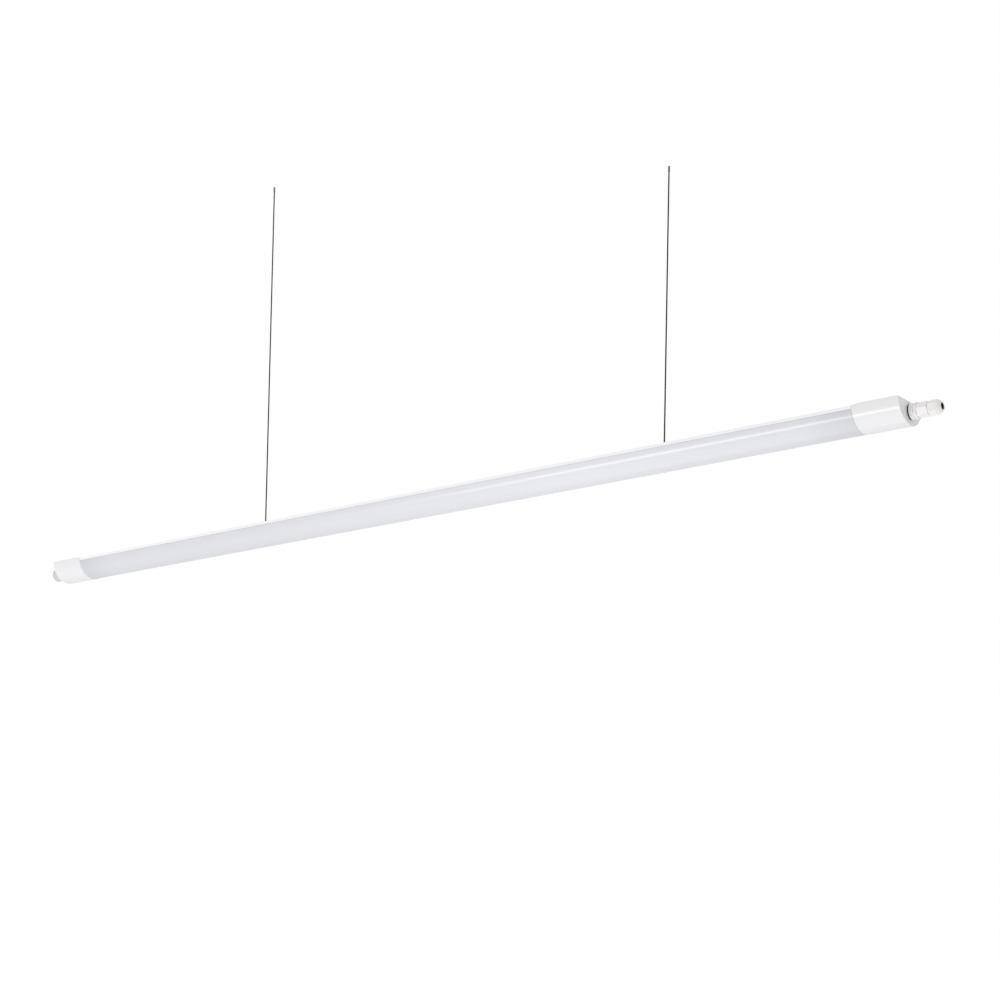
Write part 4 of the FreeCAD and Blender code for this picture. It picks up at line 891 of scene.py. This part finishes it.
rings = [(INSERT_BACK, CABLE_RADIUS)]
rings += rounded(INSERT_BACK, INSERT_RADIUS, 1, 1, EDGE_BREAK, 2)
rings += [(INSERT_FRONT - INSERT_NOSE, INSERT_RADIUS), (INSERT_FRONT, INSERT_NECK),
          (INSERT_TIP - EDGE_BREAK, INSERT_NECK), (INSERT_TIP, INSERT_NECK - EDGE_BREAK / 2),
          (INSERT_TIP, CABLE_RADIUS + RIB_DEPTH / 2)]
rib = (INSERT_TIP - INSERT_BACK) / RIBS
for count in range(RIBS):
    rings += [(INSERT_TIP - rib * (count + share), CABLE_RADIUS + depth * RIB_DEPTH)
              for share, depth in RIB_FORM]
rings.append(rings[0])
insert = turned("insert", rings, TURNED_SIDES, hollow=True)
smooth(insert)
set_in(insert, black_rubber, ("rubber_insert", "clamping_insert", NEAR_STAND))

# Dome nut: moulded nylon in the same pale shade, a hexagon that runs out into a round nose with shallow
# grip flutes; it screws along the body's thread and squeezes the fingers onto the insert.
NUT_BACK = 0.0247
NUT_FRONT = 0.0413
NUT_TURN = 40
NUT_BORE = 0.0072
NUT_THREAD_TOP = 0.0337
DOME_BACK = 0.0347
DOME_BULGE = 0.0006
DOME_STEPS = 14
NOSE_RADIUS = 0.0056
MOUTH_RADIUS = 0.0043
MOUTH_BACK = 0.0381
FLUTES = 30
FLUTE_DEPTH = 0.0004
FLUTE_LOW = 0.0357
FLUTE_HIGH = 0.0398

nut_nylon = finish("nut_nylon", (0.845, 0.83, 0.825), 0.36)
nut_flow = pattern(nut_nylon, (110, 110, 110), Scale=1, Detail=3)
tint(nut_nylon, nut_flow, (0.825, 0.81, 0.805), (0.865, 0.85, 0.845))
gloss(nut_nylon, nut_flow, 0.31, 0.44)

corner, bevel = hexagon(GRIP_FLATS)
rings = [(NUT_BACK, NUT_BORE)]
rings += corner_bevel(NUT_BACK, GRIP_FLATS / 2, corner, bevel)
height = NUT_FRONT - DOME_BACK
drop = corner - NOSE_RADIUS
slope = math.hypot(height, drop)
for step in range(DOME_STEPS + 1):
    share = step / DOME_STEPS
    bulge = DOME_BULGE * (1 - (2 * share - 1) ** 2)
    rings.append((DOME_BACK + share * height + bulge * drop / slope,
                  corner - share * drop + bulge * height / slope))
rings += rounded(NUT_FRONT, MOUTH_RADIUS, -1, -1, EDGE_BREAK, 3)[::-1]
rings += [(MOUTH_BACK, MOUTH_RADIUS), (MOUTH_BACK, INSERT_RADIUS)]
rings += rows(NUT_THREAD_TOP, NUT_BACK + THREAD_DEPTH, NUT_BORE, THREAD_ROW)
rings.append(rings[0])
nut = turned("nut", rings, FINE_SIDES, hollow=True)
hexagonal(nut, NUT_BACK, NUT_FRONT, GRIP_FLATS, NUT_TURN)
grooved(nut, NUT_BACK + THREAD_DEPTH, NUT_THREAD_TOP, NUT_BORE - HAIR, NUT_BORE + HAIR, -THREAD_DEPTH / 2,
        1 / THREAD_PITCH, 1)
grooved(nut, FLUTE_LOW, FLUTE_HIGH, NOSE_RADIUS, FLANGE_RADIUS, FLUTE_DEPTH, 0, FLUTES)
smooth(nut)
set_in(nut, nut_nylon, ("moulded_dome_nut", "dome_nut", NEAR_STAND))

# Blanking plug: the far cap's hollow plug of nylon, coloured grey as painted shade, with the same thread and
# hexagon as the locknut, a groove and a long round head.
PLUG_FRONT = 0.026
PLUG_FLANGE = 0.008
PLUG_WAIST = 0.001
PLUG_WAIST_RADIUS = 0.0096
PLUG_ROUNDING = 0.002
PLUG_RECESS = 0.005
PLUG_FLOOR = 0.004

# Painted shade: the plug's nylon is a darker grey than the gland's, standing in for the shade at the far end.
shade_painted_nylon = finish("shade_painted_nylon", (0.62, 0.615, 0.61), 0.4)
shade_painted_nylon_flow = pattern(shade_painted_nylon, (110, 110, 110), Scale=1, Detail=3)
tint(shade_painted_nylon, shade_painted_nylon_flow, (0.60, 0.595, 0.59), (0.64, 0.635, 0.63))
gloss(shade_painted_nylon, shade_painted_nylon_flow, 0.35, 0.48)

corner, bevel = hexagon(LOCKNUT_FLATS)
rings = [(PLUG_FRONT - PLUG_FLOOR, PLUG_RECESS), (THREAD_FOOT, PLUG_RECESS),
         (THREAD_FOOT, THREAD_RADIUS - THREAD_DEPTH)]
rings += rows(THREAD_FOOT + THREAD_DEPTH, 0, THREAD_RADIUS, THREAD_ROW)
rings.append((SEAL_THICKNESS, THREAD_RADIUS))
rings += corner_bevel(SEAL_THICKNESS, LOCKNUT_FLATS / 2, corner, bevel)
rings += [(PLUG_FLANGE, corner), (PLUG_FLANGE + FACE_STEP, PLUG_WAIST_RADIUS),
          (PLUG_FLANGE + PLUG_WAIST, PLUG_WAIST_RADIUS)]
rings += rounded(PLUG_FLANGE + PLUG_WAIST, FLANGE_RADIUS, 1, 1, EDGE_BREAK, 2)
rings += rounded(PLUG_FRONT, FLANGE_RADIUS, 1, -1, PLUG_ROUNDING, 10)
plug = turned("plug", rings, FINE_SIDES)
hexagonal(plug, SEAL_THICKNESS, PLUG_FLANGE, LOCKNUT_FLATS, LOCKNUT_TURN)
grooved(plug, THREAD_FOOT + THREAD_DEPTH, 0, THREAD_RADIUS - HAIR, THREAD_RADIUS + HAIR, THREAD_DEPTH,
        1 / THREAD_PITCH, 1)
smooth(plug)
set_in(plug, shade_painted_nylon, ("moulded_plug", "blanking_plug", FAR_STAND))

# Pieces inside: the enamelled gear tray, the boards with their yellow chips, the driver, the terminal block
# and the leads keep the construction's shapes, each with the surface of what it is made of.

# For each material its colour, roughness and metal, its pattern's stretch and how far that moves the colour.
INNER_FINISHES = {
    "white_sheet": ((0.85, 0.85, 0.85), 0.35, 0.0, (500, 500, 500), 0.02),
    "board_white": ((0.86, 0.87, 0.86), 0.25, 0.0, (900, 900, 900), 0.015),
    "led_phosphor": ((0.90, 0.74, 0.24), 0.3, 0.0, (2500, 2500, 2500), 0.05),
    "connector_plastic": ((0.70, 0.70, 0.68), 0.45, 0.0, (600, 600, 600), 0.02),
    "driver_plastic": ((0.82, 0.82, 0.82), 0.5, 0.0, (1200, 1200, 1200), 0.03),
    "lead_insulation": ((0.75, 0.75, 0.77), 0.3, 0.0, (60, 900, 900), 0.03),
    "earth_insulation": ((0.35, 0.55, 0.10), 0.3, 0.0, (60, 900, 900), 0.06),
    "screw_steel": ((0.62, 0.62, 0.63), 0.35, 1.0, (900, 900, 900), 0.06),
}
INNER_GLOSS = (-0.06, 0.08)
INNER_RELIEF = 0.00001

for slot_name, (colour, roughness, metallic, stretch, swing) in INNER_FINISHES.items():
    surface = finish(f"{slot_name}_surface", colour, roughness, metallic)
    grain = pattern(surface, stretch, Scale=1, Detail=3)
    tint(surface, grain, [max(0, share - swing) for share in colour],
         [min(1, share + swing) for share in colour])
    gloss(surface, grain, *(roughness + change for change in INNER_GLOSS))
    relief(surface, grain, INNER_RELIEF)
    for part in frame["record"]["subparts"]:
        if part["material_slot"] == slot_name and nodes[part["node"]].name in bpy.context.scene.objects:
            for holder in nodes[part["node"]].material_slots:
                holder.link = "OBJECT"
                holder.material = surface

# Studio: a plain pale floor two metres below, a white surrounding that gives an even light, and a long low
# softbox in front, whose reflection runs along the tube's upper half.
FLOOR_LEVEL = -2.0
FLOOR_SIZE = 24
WORLD_LIGHT = 0.74

bpy.ops.object.select_all(action="DESELECT")
bpy.ops.mesh.primitive_plane_add(size=FLOOR_SIZE, location=(0, 0, FLOOR_LEVEL))
floor = bpy.context.object
floor.name = "floor"
floor_paint = finish("floor_paint", (0.86, 0.86, 0.86), 0.8)
relief(floor_paint, pattern(floor_paint, (1, 1, 1), Scale=180, Detail=2), 0.0004)
floor.data.materials.append(floor_paint)

world = bpy.context.scene.world or bpy.data.worlds.new("studio")
bpy.context.scene.world = world
world.use_nodes = True
tree = world.node_tree
background = tree.nodes["Background"]
background.inputs["Color"].default_value = (1, 1, 1, 1)
ray = tree.nodes.new("ShaderNodeLightPath")
seen = ray.outputs["Is Camera Ray"]
for output in ("Is Glossy Ray", "Is Transmission Ray"):
    either = tree.nodes.new("ShaderNodeMath")
    either.operation = "MAXIMUM"
    tree.links.new(seen, either.inputs[0])
    tree.links.new(ray.outputs[output], either.inputs[1])
    seen = either.outputs["Value"]
level = tree.nodes.new("ShaderNodeMapRange")
level.inputs["To Min"].default_value = WORLD_LIGHT
level.inputs["To Max"].default_value = 1.0
tree.links.new(seen, level.inputs["Value"])
tree.links.new(level.outputs["Result"], background.inputs["Strength"])


def softbox(name, place, target, width, height, power):
    """A rectangular lamp that faces a point of the light."""
    bpy.ops.object.light_add(type="AREA", location=place)
    lamp = bpy.context.object
    lamp.name = name
    lamp.data.shape = "RECTANGLE"
    lamp.data.size = width
    lamp.data.size_y = height
    lamp.data.energy = power
    lamp.visible_camera = False
    lamp.rotation_euler = (Vector(target) - Vector(place)).to_track_quat("-Z", "Y").to_euler()


softbox("low_softbox", (-0.9, -2.0, -1.66), (-0.9, 0, 0), 1.8, 0.13, 15)
softbox("front_softbox", (0.0, -3.4, 1.4), (0, 0, 0), 1.6, 1.2, 14)
softbox("under_softbox", (0.4, -0.1, -1.9), (0.4, -0.1, 0), 3, 2.2, 15)
